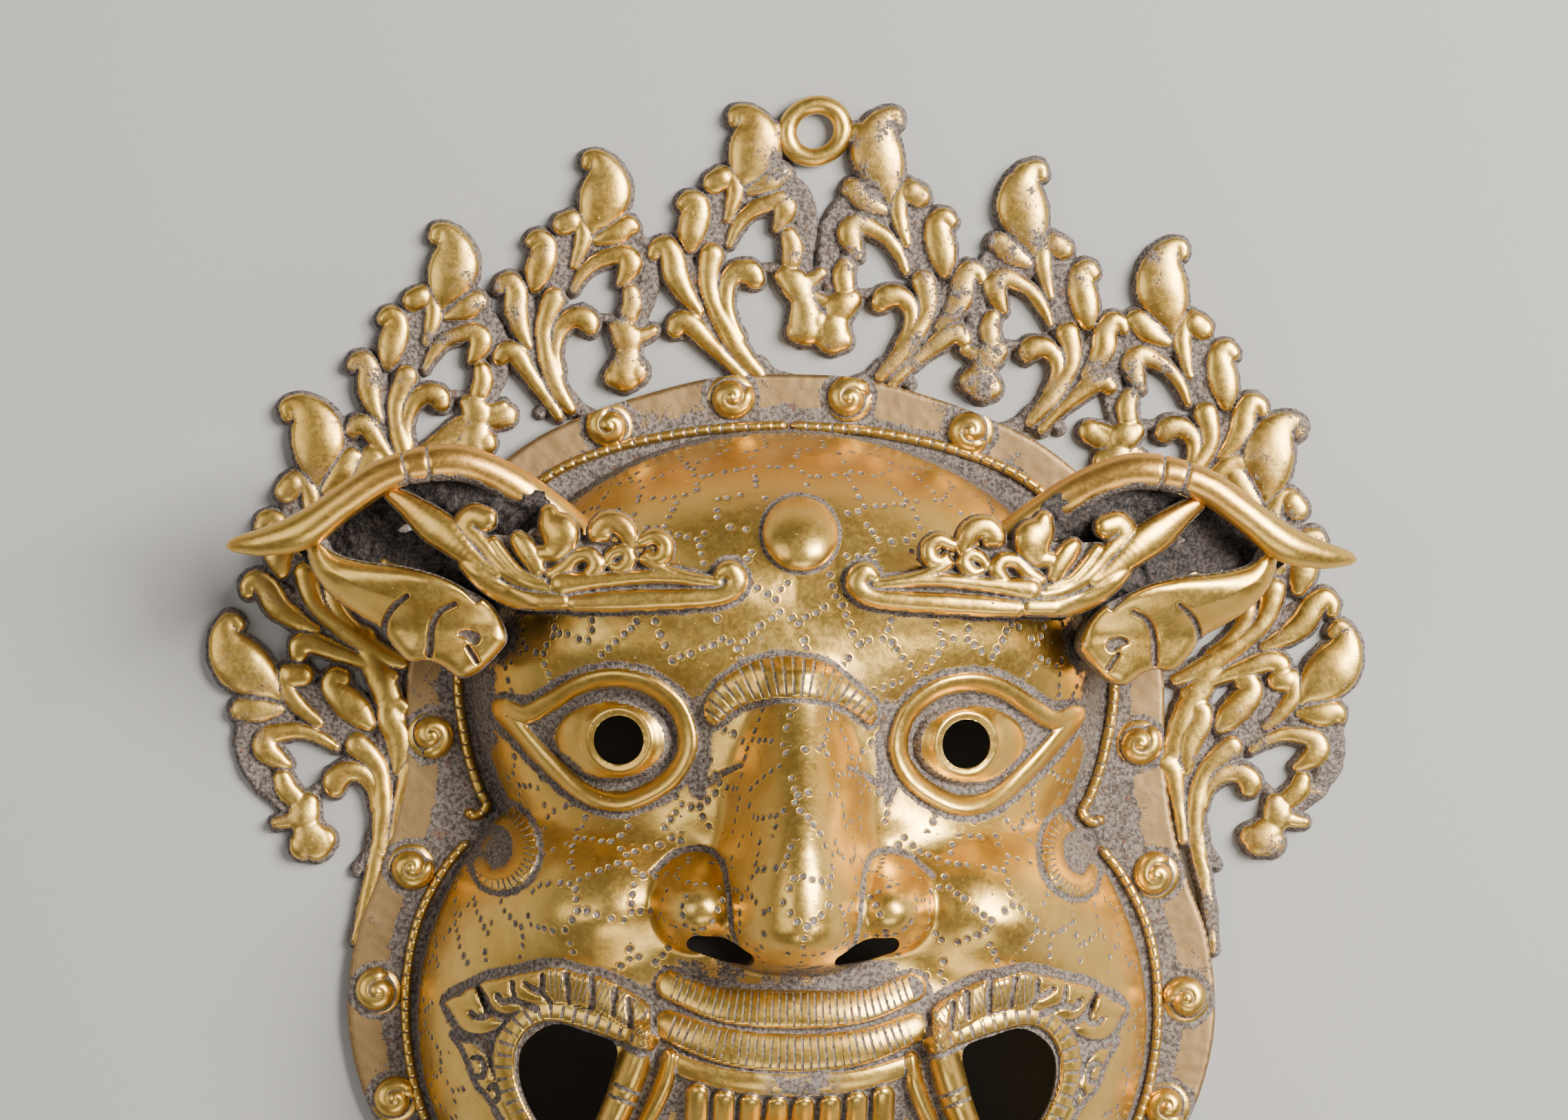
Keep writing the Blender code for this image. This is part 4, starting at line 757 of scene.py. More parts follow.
def carving(sheet):
    """The relief of every stroke on the face, and the running number of its ticks."""
    relief = sheet.level()
    ticks = sheet.level()
    for lid in lid_strokes():
        sheet.stroke(lid, relief=relief, lift=2.0, steps=1)
    crest = raised(sheet, CREST_EDGE, 2.4, 3.4)
    relief = np.maximum(relief, crest)
    turn = np.arctan2(sheet.y - CREST_HUB[1], sheet.x - CREST_HUB[0]) / math.pi
    ticks = np.where((crest > 1.0) & (turn > 0), 1.0 + turn * CREST_LINES, ticks)
    volute_ticks = sheet.level()
    for stroke in both_sides([VOLUTE]):
        sheet.stroke(stroke, relief=relief, lift=2.0, ticks=volute_ticks, pitch=1.15)
    outer = np.hypot(np.abs(sheet.x) - 67.0, sheet.y + 27.0) > 6.6
    ticks = np.where((volute_ticks > 0) & outer, volute_ticks, ticks)
    leaves = sheet.level()
    for loop in LEAF_EDGES:
        for side in (loop, mirrored(loop)):
            leaves = np.maximum(leaves, raised(sheet, side, 2.4, 2.2))
    hatched = sheet.level()
    roll = sheet.level()
    for stroke in both_sides([ROLL]):
        sheet.stroke(stroke, relief=roll, lift=0.8, ticks=hatched, pitch=1.15)
    relief = np.maximum(relief, leaves + np.where(leaves > 1.6, roll, 0.0))
    ticks = np.where((hatched > 0) & (leaves > 1.8) & (np.abs(sheet.x) < 56.0), hatched, ticks)
    cuts = near_strokes(sheet, both_sides(LEAF_CUTS), 0.3)
    relief = relief - 1.3 * cuts
    ticks = np.where(cuts > 0.1, 0.0, ticks)
    for stroke in both_sides([LIP_ROPE]):
        sheet.stroke(stroke, relief=relief, lift=1.7, top=0.25, ticks=ticks, pitch=2.7)
    for stroke, pitch, wider in zip(LIP_BANDS, (1.6, 1.75, 60.0), (1.22, 1.18, 1.7)):
        sheet.stroke(thicker(stroke, wider), relief=relief, lift=1.3, top=0.3, ticks=ticks, pitch=pitch)
    sheet.stroke(LOWER_LIP, relief=relief, lift=1.5)
    for number in range(TEETH_A_SIDE):
        across = (number + 0.5) * TOOTH_PITCH
        sag = 0.006 * across**2
        for side in (1, -1):
            upper = [(side * across, -82.6 + sag, 2.3), (side * across, -92.5 + sag, 2.5)]
            lower = [(side * across, -98.0 + sag, 2.5), (side * across, -105.5 + sag, 2.2)]
            sheet.stroke(upper, relief=relief, lift=2.3, top=0.4)
            sheet.stroke(lower, relief=relief, lift=2.2, top=0.4)
    for stroke in both_sides([SMALL_FANG]):
        sheet.stroke(stroke, relief=relief, lift=2.6)
    tusk = sheet.level()
    for stroke in both_sides([FANG]):
        sheet.stroke(stroke, relief=tusk, lift=3.4)
    engraved = near_strokes(sheet, both_sides(NOSE_CUTS), 0.5)
    relief = relief - 0.5 * engraved
    ringed = near_strokes(sheet, both_sides(FANG_CUTS), 0.25)
    tusk = np.where(tusk > 0.5, tusk - 0.3 * ringed, tusk)
    return relief, tusk, ticks


def face_openings(sheet):
    """Positive inside the pupils, the corners of the mouth and the nostrils."""
    pupil = PUPIL_BORE / 2 - np.hypot(np.abs(sheet.x) - PUPIL[0], sheet.y - PUPIL[1])
    mouth = sheet.both_outlines(MOUTH_HOLE)
    nostril = sheet.level(-50.0)
    for stroke in both_sides([NOSTRIL]):
        sheet.stroke(stroke, edge=nostril)
    return np.maximum(np.maximum(pupil, mouth), nostril)


def bare_skin(sheet):
    """Where the skin is free for punched dots: 1 on skin, 0 on eyes, lips, teeth and carving."""
    keep = sheet.level(1.0)
    keep = np.where(sheet.both_outlines(LID) > -3.4, 0.0, keep)
    busy = sheet.level(-50.0)
    for stroke in both_sides([VOLUTE, ROLL, LIP_ROPE] + LEAVES + BROW_FIELD) + LIP_BANDS:
        sheet.stroke(stroke, edge=busy, grow=1.4)
    busy = np.maximum(busy, sheet.smooth_outline(CREST_EDGE) + 1.4)
    third_eye = np.hypot(sheet.x - THIRD_EYE[0], sheet.y - THIRD_EYE[1]) < 10.4
    keep = np.where((busy > 0) | third_eye, 0.0, keep)
    mouth = (np.abs(sheet.x) < 56) & (sheet.y < -64) & (sheet.y > -112)
    lip = (np.abs(sheet.x) < 27) & (sheet.y < -50) & (sheet.y > -112)
    return np.where(mouth | lip, 0.0, keep)


# %% Face: the front in two halves, and the inside of the shell
def cells_round(key):
    """A cell of a cubic grid and the 26 round it."""
    return [tuple(np.add(key, step)) for step in itertools.product((-1, 0, 1), repeat=3)]


def tree_of(spots):
    tree = kdtree.KDTree(len(spots))
    for number, spot in enumerate(spots):
        tree.insert(spot, number)
    tree.balance()
    return tree


def punched_dots(sheet, height, skin):
    """Distance from each point to the nearest punched dot. The dots run in lines round cells."""
    away = np.full(sheet.x.size, 3.0)
    open_skin = np.flatnonzero(skin.ravel() > 0)
    spots = np.stack([sheet.x.ravel(), sheet.y.ravel(), height.ravel()], 1)
    dice = np.random.RandomState(11)
    rows, columns = np.gradient(height, sheet.ys, sheet.xs)
    stretch = np.clip(np.sqrt(1 + rows**2 + columns**2).ravel(), 1, 3)
    cells = []
    taken = {}
    chance = stretch[open_skin] / stretch[open_skin].sum()
    for number in dice.choice(open_skin, 6000, p=chance):
        spot = spots[number]
        key = tuple((spot // CELL).astype(int))
        near = [taken.get(other) for other in cells_round(key)]
        if all(other is None or np.sum((other - spot) ** 2) > CELL**2 for other in near):
            taken[key] = spot
            cells.append(spot)
    tree = tree_of(cells)
    lines = []
    for number in open_skin:
        found = tree.find_n(spots[number], 2)
        if len(found) == 2 and found[1][2] - found[0][2] < 0.6:
            a, b = sorted((found[0][1], found[1][1]))
            turn = math.atan2(spots[number][1] - found[0][0][1], spots[number][0] - found[0][0][0])
            lines.append((a, b, turn if found[0][1] == a else turn + math.pi, number))
    lines.sort()
    dots = []
    taken = {}
    for _, _, _, number in lines:
        spot = spots[number]
        key = tuple((spot // DOT_PITCH).astype(int))
        near = [dot for other in cells_round(key) for dot in taken.get(other, [])]
        if all(np.sum((other - spot) ** 2) > DOT_PITCH**2 for other in near):
            taken.setdefault(key, []).append(spot)
            dots.append(spot)
    dots = [spot + dice.normal(0, 0.12, 3) for spot in dots if dice.rand() > 0.05]
    tree = tree_of(dots)
    size = dice.uniform(0.86, 1.16, len(dots))
    for number in open_skin:
        _, which, distance = tree.find(spots[number])
        away[number] = distance / size[which]
    print("punched dots:", len(dots))
    return away.reshape(sheet.x.shape)


def face_sheet(y0, y1, step):
    """All fields of a part of the face: its edge, height, inside and marks."""
    sheet = Sheet(-88.0, 88.0, y0, y1, step)
    form = broad_face(sheet.x, sheet.y)
    relief, tusk, ticks = carving(sheet)
    height = form + relief + tusk
    back = hollow_back(sheet, form)
    return sheet, relief, height, back, ticks


def face_dirt(sheet, relief, height):
    """Old dirt: narrow along raised forms, and wider in the corners that a cloth never reached."""
    x, y = sheet.x, sheet.y
    low = np.where(y > -20, smoothstep(14.0, 8.5, height), smoothstep(9.5, 6.5, height))
    layers = [hollows(sheet, relief), 0.9 * low]
    layers.append(1.1 * bump(x, y, 67.5, 22.0, 6.0, 8.0, 1.6))
    layers.append(0.85 * bump(x, y, 71.0, 6.0, 5.0, 18.0, 1.6))

    lids = near_strokes(sheet, lid_strokes(), 2.4)
    on_lid = near_strokes(sheet, lid_strokes(), 0.1)
    ball = 1 - ((np.abs(x) - 41.2) / 12.4) ** 2 - ((y + 1.7) / 8.6) ** 2
    layers.append(np.where((sheet.both_outlines(LID) > 0) & (ball < 0), 1.0, 0.0))
    layers.append(0.95 * lids * np.where(y > 2 - 0.3 * (np.abs(x) - 40), 1.0, 0.75))
    layers.append(1.1 * bump(x, y, 21.6, -3.0, 3.4, 13.0, 1.6))
    eye_rim = np.abs(np.hypot(x - THIRD_EYE[0], y - THIRD_EYE[1]) - 8.9)
    layers.append(0.9 * smoothstep(0.9, 0.2, eye_rim))

    crest = sheet.smooth_outline(CREST_EDGE)
    layers.append(0.9 * smoothstep(-2.2, -0.2, crest))
    bars = [thicker(stroke, 1.4) for stroke in BROW[:2] + BROW[7:8]]
    layers.append(0.95 * near_strokes(sheet, both_sides(bars), 2.6))

    layers.append(0.8 * near_strokes(sheet, both_sides(NOSE_CUTS[:1]), 0.7))
    layers.append(0.6 * near_strokes(sheet, both_sides(NOSE_CUTS[1:]), 0.7))
    under_nose = smoothstep(-48.0, -51.0, y) * smoothstep(-59.0, -55.5, y) * smoothstep(29.0, 24.0, np.abs(x))
    layers.append((0.62 + 0.2 * mottle(x, y, 5.0, 12)) * under_nose)

    leaves = sheet.level(-9.0)
    for loop in LEAF_EDGES:
        leaves = np.maximum(leaves, sheet.both_outlines(loop))
    layers.append(0.95 * smoothstep(-1.8, -0.3, leaves))
    rolled = near_strokes(sheet, both_sides([VOLUTE]), 1.6)
    layers.append(np.where(rolled < 1, 0.95 * rolled, 0.0))
    layers.append(bump(x, y, 66.2, -27.6, 3.4, 3.6, 1.6))

    proud = np.maximum(on_lid * (relief > 1.2), (crest > 0.3) | (leaves > 0.5))
    proud = np.maximum(proud, (relief > 1.9) * (y < -50))
    cuts = near_strokes(sheet, both_sides(LEAF_CUTS + FANG_CUTS), 0.3)
    return np.maximum(np.maximum.reduce(layers) * (1 - 0.9 * proud), 0.95 * cuts)


def face_piece(name, y0, y1, step):
    sheet, relief, height, back, ticks = face_sheet(y0 - MARGIN, y1 + MARGIN, step)
    x, y = sheet.x, sheet.y
    skin = bare_skin(sheet)
    grime = face_dirt(sheet, relief, height)
    height = height + 0.10 * mottle(x, y, 7.0, 3) + 0.05 * mottle(x, y, 2.6, 4)
    inside_rows = np.minimum(y - y0, y1 - y)
    edge = np.minimum(np.minimum(height - 2.2, -face_openings(sheet)), inside_rows)
    dots = punched_dots(sheet, height, np.where(inside_rows > -3, skin, 0.0))
    height = np.maximum(height, 1.2)
    under = np.maximum(np.clip(back, 0, None) + 0.6, 0.4)
    marks = {"grime": grime, "dots": dots, "ticks": ticks, "ticked": (ticks > 0).astype(float)}
    return sheet_piece(name, sheet, edge, height, np.minimum(under, height - 0.4), marks, "skirt")


face_piece("face_upper", SEAM, FACE_HIGHEST, FACE_STEP)
face_piece("face_lower", FACE_LOWEST, SEAM, FACE_STEP)

# %% The inside of the shell
sheet, relief, height, back, ticks = face_sheet(FACE_LOWEST, FACE_HIGHEST, INSIDE_STEP)
edge = np.minimum(back - 0.05, -face_openings(sheet) - 0.3)
top = np.minimum(back + 1.6, np.maximum(height - 0.7, back + 0.3))
grime = 0.55 + 0.3 * mottle(sheet.x, sheet.y, 9.0, 5)
sheet_piece("shell_inside", sheet, edge, top, np.clip(back, 0, None), {"grime": grime}, "full")

# %% The band
half = smooth_path(BAND_EDGE)
band_loop = np.vstack([half, (half * (-1, 1))[::-1][1:-1]])


def band_piece():
    sheet = Sheet(-102.0, 102.0, -149.5, 86.0, BAND_STEP)
    x, y = sheet.x, sheet.y
    band = sheet.outline(band_loop)
    inside = shell_inside(x, y)
    edge = np.minimum(band, 1.4 - inside)
    front = BAND_PLATE - 1.0 + np.clip(1 - (1 - np.clip(band / 1.0, 0, 1)) ** 2, 0, 1)
    front = front + 0.10 * mottle(x, y, 5.0, 6) + 0.05 * mottle(x, y, 1.7, 7)
    grime = 0.27 + 0.22 * mottle(x, y, 9.0, 8) + 0.12 * mottle(x, y, 3.0, 9)
    grime = grime + 0.75 * smoothstep(6.5, 9.5, band) - 0.10 * smoothstep(2.2, 0.2, band)
    grime = np.maximum(grime, np.where(y < -5, 0.9 * smoothstep(-1.2, 0.6, inside), 0.0))
    for side in (1, -1):
        for across, up in BOSSES:
            near = np.hypot(x - side * across, y - up)
            grime = np.maximum(grime, 0.95 * smoothstep(8.2, 5.8, near))
    marks = {"grime": grime, "dull": sheet.level(1.0)}
    return sheet_piece("band", sheet, edge, front, sheet.level(), marks, "floor")


band_piece()

# %% [markdown]
# The cord between face and band is cut across every few millimetres. It is a half-round strip
# that follows its path, and each cut dips its surface.


# %% Cords
def walked(path, step):
    """A path resampled at even steps, with its sideways direction at each point."""
    fine = smooth_path(path, 12)
    lengths = np.concatenate([[0], np.cumsum(np.hypot(*np.diff(fine[:, :2], axis=0).T))])
    spots = np.arange(0, lengths[-1], step)
    out = np.stack([np.interp(spots, lengths, fine[:, k]) for k in range(fine.shape[1])], 1)
    ahead = np.gradient(out[:, :2], axis=0)
    ahead /= np.hypot(*ahead.T)[:, None] + 1e-12
    side = np.stack([-ahead[:, 1], ahead[:, 0]], 1)
    return out, side, spots


def cord_piece(name, path, base, width, height, pitch):
    out, side, spots = walked(path, 0.3)
    angles = np.linspace(0, math.pi, 13)
    wander = 0.35 * np.sin(spots / 11.0) + 0.2 * np.sin(spots / 3.7)
    tick = (spots + wander) / pitch
    cut = np.exp(-(((tick % 1.0) - 0.5) / 0.075) ** 2)
    taper = np.clip(np.minimum(spots, spots[-1] - spots) / 1.2, 0.15, 1.0)
    reach = (width / 2) * taper[:, None] * (1 - 0.04 * cut[:, None]) * np.cos(angles)[None]
    rise = height * taper[:, None] * (1 - 0.22 * cut[:, None]) * np.sin(angles)[None] ** 0.6
    rows = np.stack([
        out[:, 0:1] + side[:, 0:1] * reach, out[:, 1:2] + side[:, 1:2] * reach, base - 0.5 + rise,
    ], 2)
    low = np.repeat((1 - np.sin(angles))[None] ** 2, len(spots), 0)
    notch = cut[:, None] * smoothstep(0.55, 0.8, np.sin(angles))[None]
    grime = np.clip(0.95 * low + 0.8 * notch + 0.10, 0, 1)
    return ribbon_piece(name, rows, {"grime": grime})


CORDS = (("top", ROPE_TOP, 2.5, 2.3, 2.9), ("cheek", ROPE_CHEEK, 2.4, 2.2, 2.6))
for place, path, width, height, pitch in CORDS:
    cord_piece(f"cord_{place}_left", mirrored(path), BAND_PLATE, width, height, pitch)
    cord_piece(f"cord_{place}_right", path, BAND_PLATE, width, height, pitch)

# %% [markdown]
# Each boss is a coil of wax, wound flat from its rim to a small knob.


# %% Bosses
BOSS_RADIUS = 5.55
BOSS_ROOM = 6.2
COIL_TURNS = 1.4
COIL_POINTS = 27


def boss_fields(sheet, centre, turn_from, hand):
    """The distance from a boss's centre, and the height of its coil, body and knob."""
    coil = []
    for share in np.arange(COIL_POINTS) / (COIL_POINTS - 1):
        angle = turn_from + hand * share * 2 * math.pi * COIL_TURNS
        radius = 3.9 * (1 - share) ** 0.9 + 0.2
        x = centre[0] + radius * math.cos(angle)
        y = centre[1] + radius * math.sin(angle)
        coil.append((x, y, 1.5 - 0.1 * share))
    coil[0] = coil[0][:2] + (0.7,)
    relief = sheet.level()
    sheet.stroke(coil, relief=relief, lift=1.3, steps=3, top=0.5)
    away = np.hypot(sheet.x - centre[0], sheet.y - centre[1])
    body = 1.5 * np.sqrt(np.clip(1 - (away / 5.6) ** 2, 0, 1))
    rise = 0.9 * np.exp(-((away / 2.6) ** 2))
    return away, relief + body + rise


def boss_pieces():
    dice = np.random.RandomState(21)
    for side, word in ((-1, "left"), (1, "right")):
        for number, (across, up) in enumerate(BOSSES):
            x, y = side * across, up
            sheet = Sheet(x - BOSS_ROOM, x + BOSS_ROOM, y - BOSS_ROOM, y + BOSS_ROOM, BOSS_STEP)
            away, height = boss_fields(sheet, (x, y), dice.uniform(0, 6.3), -side if number % 3 else side)
            edge = BOSS_RADIUS + 0.22 * mottle(sheet.x, sheet.y, 3.0, 31) - away
            edge = np.minimum(edge, sheet.outline(band_loop) - 0.1)
            grime = np.clip(hollows(sheet, height) * 1.1, 0, 1)
            front, back = BAND_PLATE - 0.3 + height, sheet.level(BAND_PLATE - 1.2)
            sheet_piece(f"boss_{word}_{number}", sheet, edge, front, back, {"grime": grime}, "skirt")


boss_pieces()

# %% [markdown]
# ## The crown
#
# Ten leaf plumes stand round the band. Their leaves are rounded and rubbed bright, and the web
# between the leaves is rough and dirty.


# %% Crown
def crown_piece():
    sheet = Sheet(-136.8, 136.8, -56.0, 148.0, CROWN_STEP)
    x, y = sheet.x, sheet.y
    web = sheet.level(-50.0)
    relief = sheet.level()
    for plume in PLUMES:
        for stroke in PLUME:
            sheet.stroke(place_plume(stroke, plume), edge=web, relief=relief, lift=1.25, grow=1.1, top=0.35)
        for stroke in PLUME_WEB + PLUME_FOOT:
            sheet.stroke(place_plume(stroke, plume), edge=web)
    for stroke in STEMS:
        sheet.stroke(stroke, edge=web, relief=relief, lift=0.9, grow=0.6)
    web = web + 0.22 * mottle(x, y, 2.4, 41) + 0.12 * mottle(x, y, 1.1, 42)
    band = sheet.outline(band_loop)
    ring_spot = (CROWN_SHIFT, HIGHEST - RING_BORE / 2 - RING_STOUT)
    ring = np.hypot(x - ring_spot[0], y - ring_spot[1]) - RING_BORE / 2
    edge = np.minimum(np.minimum(web, 1.2 - band), ring - 1.2)
    rough = 1 - smoothstep(0.4, 1.4, relief)
    rounding = np.clip(1 - (1 - np.clip(web / 1.2, 0, 1)) ** 2, 0, 1)
    front = 0.6 + (CROWN_PLATE - 0.6) * rounding + relief
    front = front + rough * (0.30 * mottle(x, y, 1.3, 43) + 0.25 * mottle(x, y, 3.2, 44))
    front = front + 0.12 * mottle(x, y, 4.0, 45)
    grime = np.maximum(hollows(sheet, relief, 1.4), 0.95 * rough)
    grime = np.maximum(grime, 0.26 + 0.2 * mottle(x, y, 5.0, 47))
    grime = grime + 0.22 * mottle(x, y, 14.0, 46) * (grime > 0.1)
    return sheet_piece("crown", sheet, edge, front, sheet.level(), {"grime": grime}, "floor")


crown_piece()

# %% The hanging ring
middle = RING_BORE / 2 + RING_STOUT / 2
bpy.ops.mesh.primitive_torus_add(
    major_segments=72, minor_segments=24, major_radius=middle * MM, minor_radius=RING_STOUT / 2 * 1.12 * MM,
)
ring = bpy.context.object
ring_mesh = ring.data
bpy.data.objects.remove(ring)
spots = np.zeros(len(ring_mesh.vertices) * 3, np.float32)
ring_mesh.vertices.foreach_get("co", spots)
spots = spots.reshape(-1, 3)
out_x = 1.0 + 0.05 * np.sin(2 * np.arctan2(spots[:, 1], spots[:, 0]) + 0.6)
spots[:, :2] *= out_x[:, None]
height_now = spots[:, 2].copy()
spots += np.array([CROWN_SHIFT, HIGHEST - middle - RING_STOUT / 2, RING_STOUT / 2 + 0.3]) * MM
ring_mesh.vertices.foreach_set("co", spots.ravel())
ring_mesh.update()
ring_mesh.shade_smooth()
finish_piece("hanging_ring", ring_mesh, {"grime": np.clip(0.25 - height_now / 0.0026, 0, 1)})

# %% [markdown]
# ## Horns, ears and flaming brows


# %% Horns
def horn_piece(name, side):
    out, across, spots = walked(HORN, 0.45)
    total = spots[-1]
    height, radius = out[:, 2], out[:, 3]
    share = spots / total
    ring_at = (0.47, 0.525)
    dip = sum(np.exp(-((spots - at * total) / 0.42) ** 2) for at in ring_at)
    radius = radius * (1 - 0.10 * dip)
    radius = radius + 0.10 * np.sin(spots / 6.3) + 0.07 * np.sin(spots / 2.9)
    radius = radius * np.sqrt(np.clip((total - spots) / 1.6, 0.0, 1.0))
    angles = np.linspace(0, 2 * math.pi, 41)
    slope = np.gradient(height, spots)
    reach = radius[:, None] * np.cos(angles)[None]
    rise = radius[:, None] * np.sin(angles)[None]
    ahead = np.stack([across[:, 1], -across[:, 0]], 1)
    rows = np.stack([
        out[:, 0:1] + across[:, 0:1] * reach - ahead[:, 0:1] * slope[:, None] * rise,
        out[:, 1:2] + across[:, 1:2] * reach - ahead[:, 1:2] * slope[:, None] * rise,
        height[:, None] + rise,
    ], 2)
    rows[:, :, 0] *= -side
    low = smoothstep(0.1, -0.7, np.sin(angles))[None] * np.ones((len(spots), 1))
    foot = smoothstep(0.13, 0.03, share)[:, None]
    stretch = smoothstep(0.1, 0.2, share) * smoothstep(0.62, 0.5, share)
    lower = smoothstep(0.35, 0.85, np.cos(angles))[None] * stretch[:, None]
    grime = np.clip(0.95 * low + 0.9 * dip[:, None] + 0.8 * foot + 0.8 * lower, 0, 1)
    return ribbon_piece(name, rows, {"grime": grime}, closed_round=True)


horn_piece("horn_left", -1)
horn_piece("horn_right", 1)


# %% Ears and brows
def side_height(x, y):
    """The height of brow and ear: it falls away to the side, and the ear lies lower."""
    return 57.5 - 0.0024 * (x + 15.0) ** 2 - 8.0 * smoothstep(36.0, 22.0, y) * smoothstep(-58.0, -66.0, x)


def side_piece(name, side):
    sheet = Sheet(-113.1, -9.1, 7.8, 62.4, SIDE_STEP)
    x, y = sheet.x, sheet.y
    web = sheet.level(-50.0)
    relief = sheet.level()
    for stroke in BROW + BROW_SCROLLS:
        sheet.stroke(thicker(stroke, 1.32), edge=web, relief=relief, lift=1.8, grow=0.4, top=0.35)
    for stroke in BROW_FIELD:
        sheet.stroke(stroke, edge=web)
    ear = sheet.smooth_outline(EAR_EDGE)
    leaf = raised(sheet, EAR_EDGE, 2.6, 3.0) + 1.6 * smoothstep(0.0, 9.0, ear)
    cuts = near_strokes(sheet, EAR_CUTS, 0.5)
    top_rim = near_strokes(sheet, [EAR_RIM], 0.5)
    leaf = leaf - 1.6 * cuts - 1.4 * top_rim
    relief = np.maximum(relief, leaf)
    edge = np.maximum(web, ear)
    lean = side_height(x, y)
    rough = np.where(np.maximum(relief, ear) > 0.2, 0.0, 1.4)
    rough = blurred(rough, 0.3 / sheet.step)
    front = lean - rough + relief + 0.08 * mottle(x, y, 3.0, 51)
    face_side = 1 - smoothstep(-62.0, -80.0, x)
    back = lean - 3.5 - SIDE_PLATE - 16.0 * face_side * smoothstep(-40.0, -56.0, x)
    back = np.minimum(back, front - SIDE_PLATE)
    grime = np.maximum(hollows(sheet, front), 0.95 * (rough > 0.5))
    grime = np.where(ear > 0.5, np.maximum(0.95 * np.maximum(cuts, top_rim), 0.25 * grime), grime)
    made = sheet_piece(name, sheet, edge, front, back, {"grime": grime}, "full")
    if side > 0:
        flip(made.data)
    return made


def flip(mesh):
    """Mirrors a mesh from left to right and keeps its faces outward."""
    spots = np.zeros(len(mesh.vertices) * 3, np.float32)
    mesh.vertices.foreach_get("co", spots)
    spots[0::3] *= -1
    mesh.vertices.foreach_set("co", spots)
    mesh.flip_normals()
    mesh.update()


def shade_fill_piece(name, side):
    """A rough sheet that closes the gaps between horn, ear and brow, coloured near-black as painted shade."""
    sheet = Sheet(-114.0, -54.0, 20.0, 62.4, 0.6)
    x, y = sheet.x, sheet.y
    web = sheet.level(-50.0)
    for stroke in SHADE_FILL_STROKES:
        sheet.stroke(stroke, edge=web)
    crumbs = 0.9 * mottle(x, y, 3.4, 61 + side) + 0.7 * mottle(x, y, 1.6, 62 + side)
    edge = web + 0.5 + 1.2 * crumbs
    front = side_height(x, y) - 5.6 + 1.1 * crumbs + 0.6 * mottle(x, y, 0.9, 63)
    # Painted shade: the whole sheet takes the near-black colour.
    marks = {"grime": sheet.level(1.0), "painted_shade": sheet.level(1.0)}
    made = sheet_piece(name, sheet, edge, front, front - 3.4, marks, "full")
    if side > 0:
        flip(made.data)
    return made


side_piece("brow_and_ear_left", -1)
side_piece("brow_and_ear_right", 1)
# Near-black sheets of painted shade in the gaps between horn, ear and brow.
shade_fill_piece("shade_fill_left", -1)
shade_fill_piece("shade_fill_right", 1)
print("pieces:", len(pieces))

# %% [markdown]
# ## The brass
#
# One node group turns the marks on the meshes into masks: dirt with a crisp, mottled border, the
# filled dots, the filled ticks, the fine pits, the painted shade in the gaps by the ears, and the
# height that the bump shows. The material reads them and mixes bright brass, brown tarnish, grey
# dirt and the near-black of painted shade.


# %% Node helpers
class Net:
    """Short calls for adding nodes to a tree."""

    def __init__(self, tree):
        self.tree = tree

    def add(self, kind, **settings):
        node = self.tree.nodes.new(kind)
        for key, value in settings.items():
            setattr(node, key, value)
        return node

    def link(self, source, target):
        self.tree.links.new(source, target)

    def math(self, operation, a, b=None):
        node = self.add("ShaderNodeMath", operation=operation)
        for slot, value in zip(node.inputs, (a, b)):
            if isinstance(value, (int, float)):
                slot.default_value = value
            elif value is not None:
                self.link(value, slot)
        return node.outputs[0]

    def plus(self, a, b):
        return self.math("ADD", a, b)

    def minus(self, a, b):
        return self.math("SUBTRACT", a, b)

    def times(self, a, b):
        return self.math("MULTIPLY", a, b)

    def most(self, a, b):
        return self.math("MAXIMUM", a, b)

    def ramp(self, value, low, high, to_low=0.0, to_high=1.0):
        node = self.add("ShaderNodeMapRange", interpolation_type="SMOOTHSTEP")
        self.link(value, node.inputs["Value"])
        for key, number in (("From Min", low), ("From Max", high), ("To Min", to_low), ("To Max", to_high)):
            node.inputs[key].default_value = number
        return node.outputs["Result"]

    def noise(self, where, scale, detail=2.0, rough=0.5, distort=0.0):
        node = self.add("ShaderNodeTexNoise")
        self.link(where, node.inputs["Vector"])
        node.inputs["Scale"].default_value = scale
        node.inputs["Detail"].default_value = detail
        node.inputs["Roughness"].default_value = rough
        node.inputs["Distortion"].default_value = distort
        return node.outputs["Fac"]

    def mark(self, name):
        return self.add("ShaderNodeAttribute", attribute_name=name).outputs["Fac"]

    def blend(self, share, a, b):
        node = self.add("ShaderNodeMix", data_type="RGBA")
        self.link(share, node.inputs[0])
        for slot, value in ((node.inputs[6], a), (node.inputs[7], b)):
            if isinstance(value, tuple):
                slot.default_value = value + (1.0,)
            else:
                self.link(value, slot)
        return node.outputs[2]


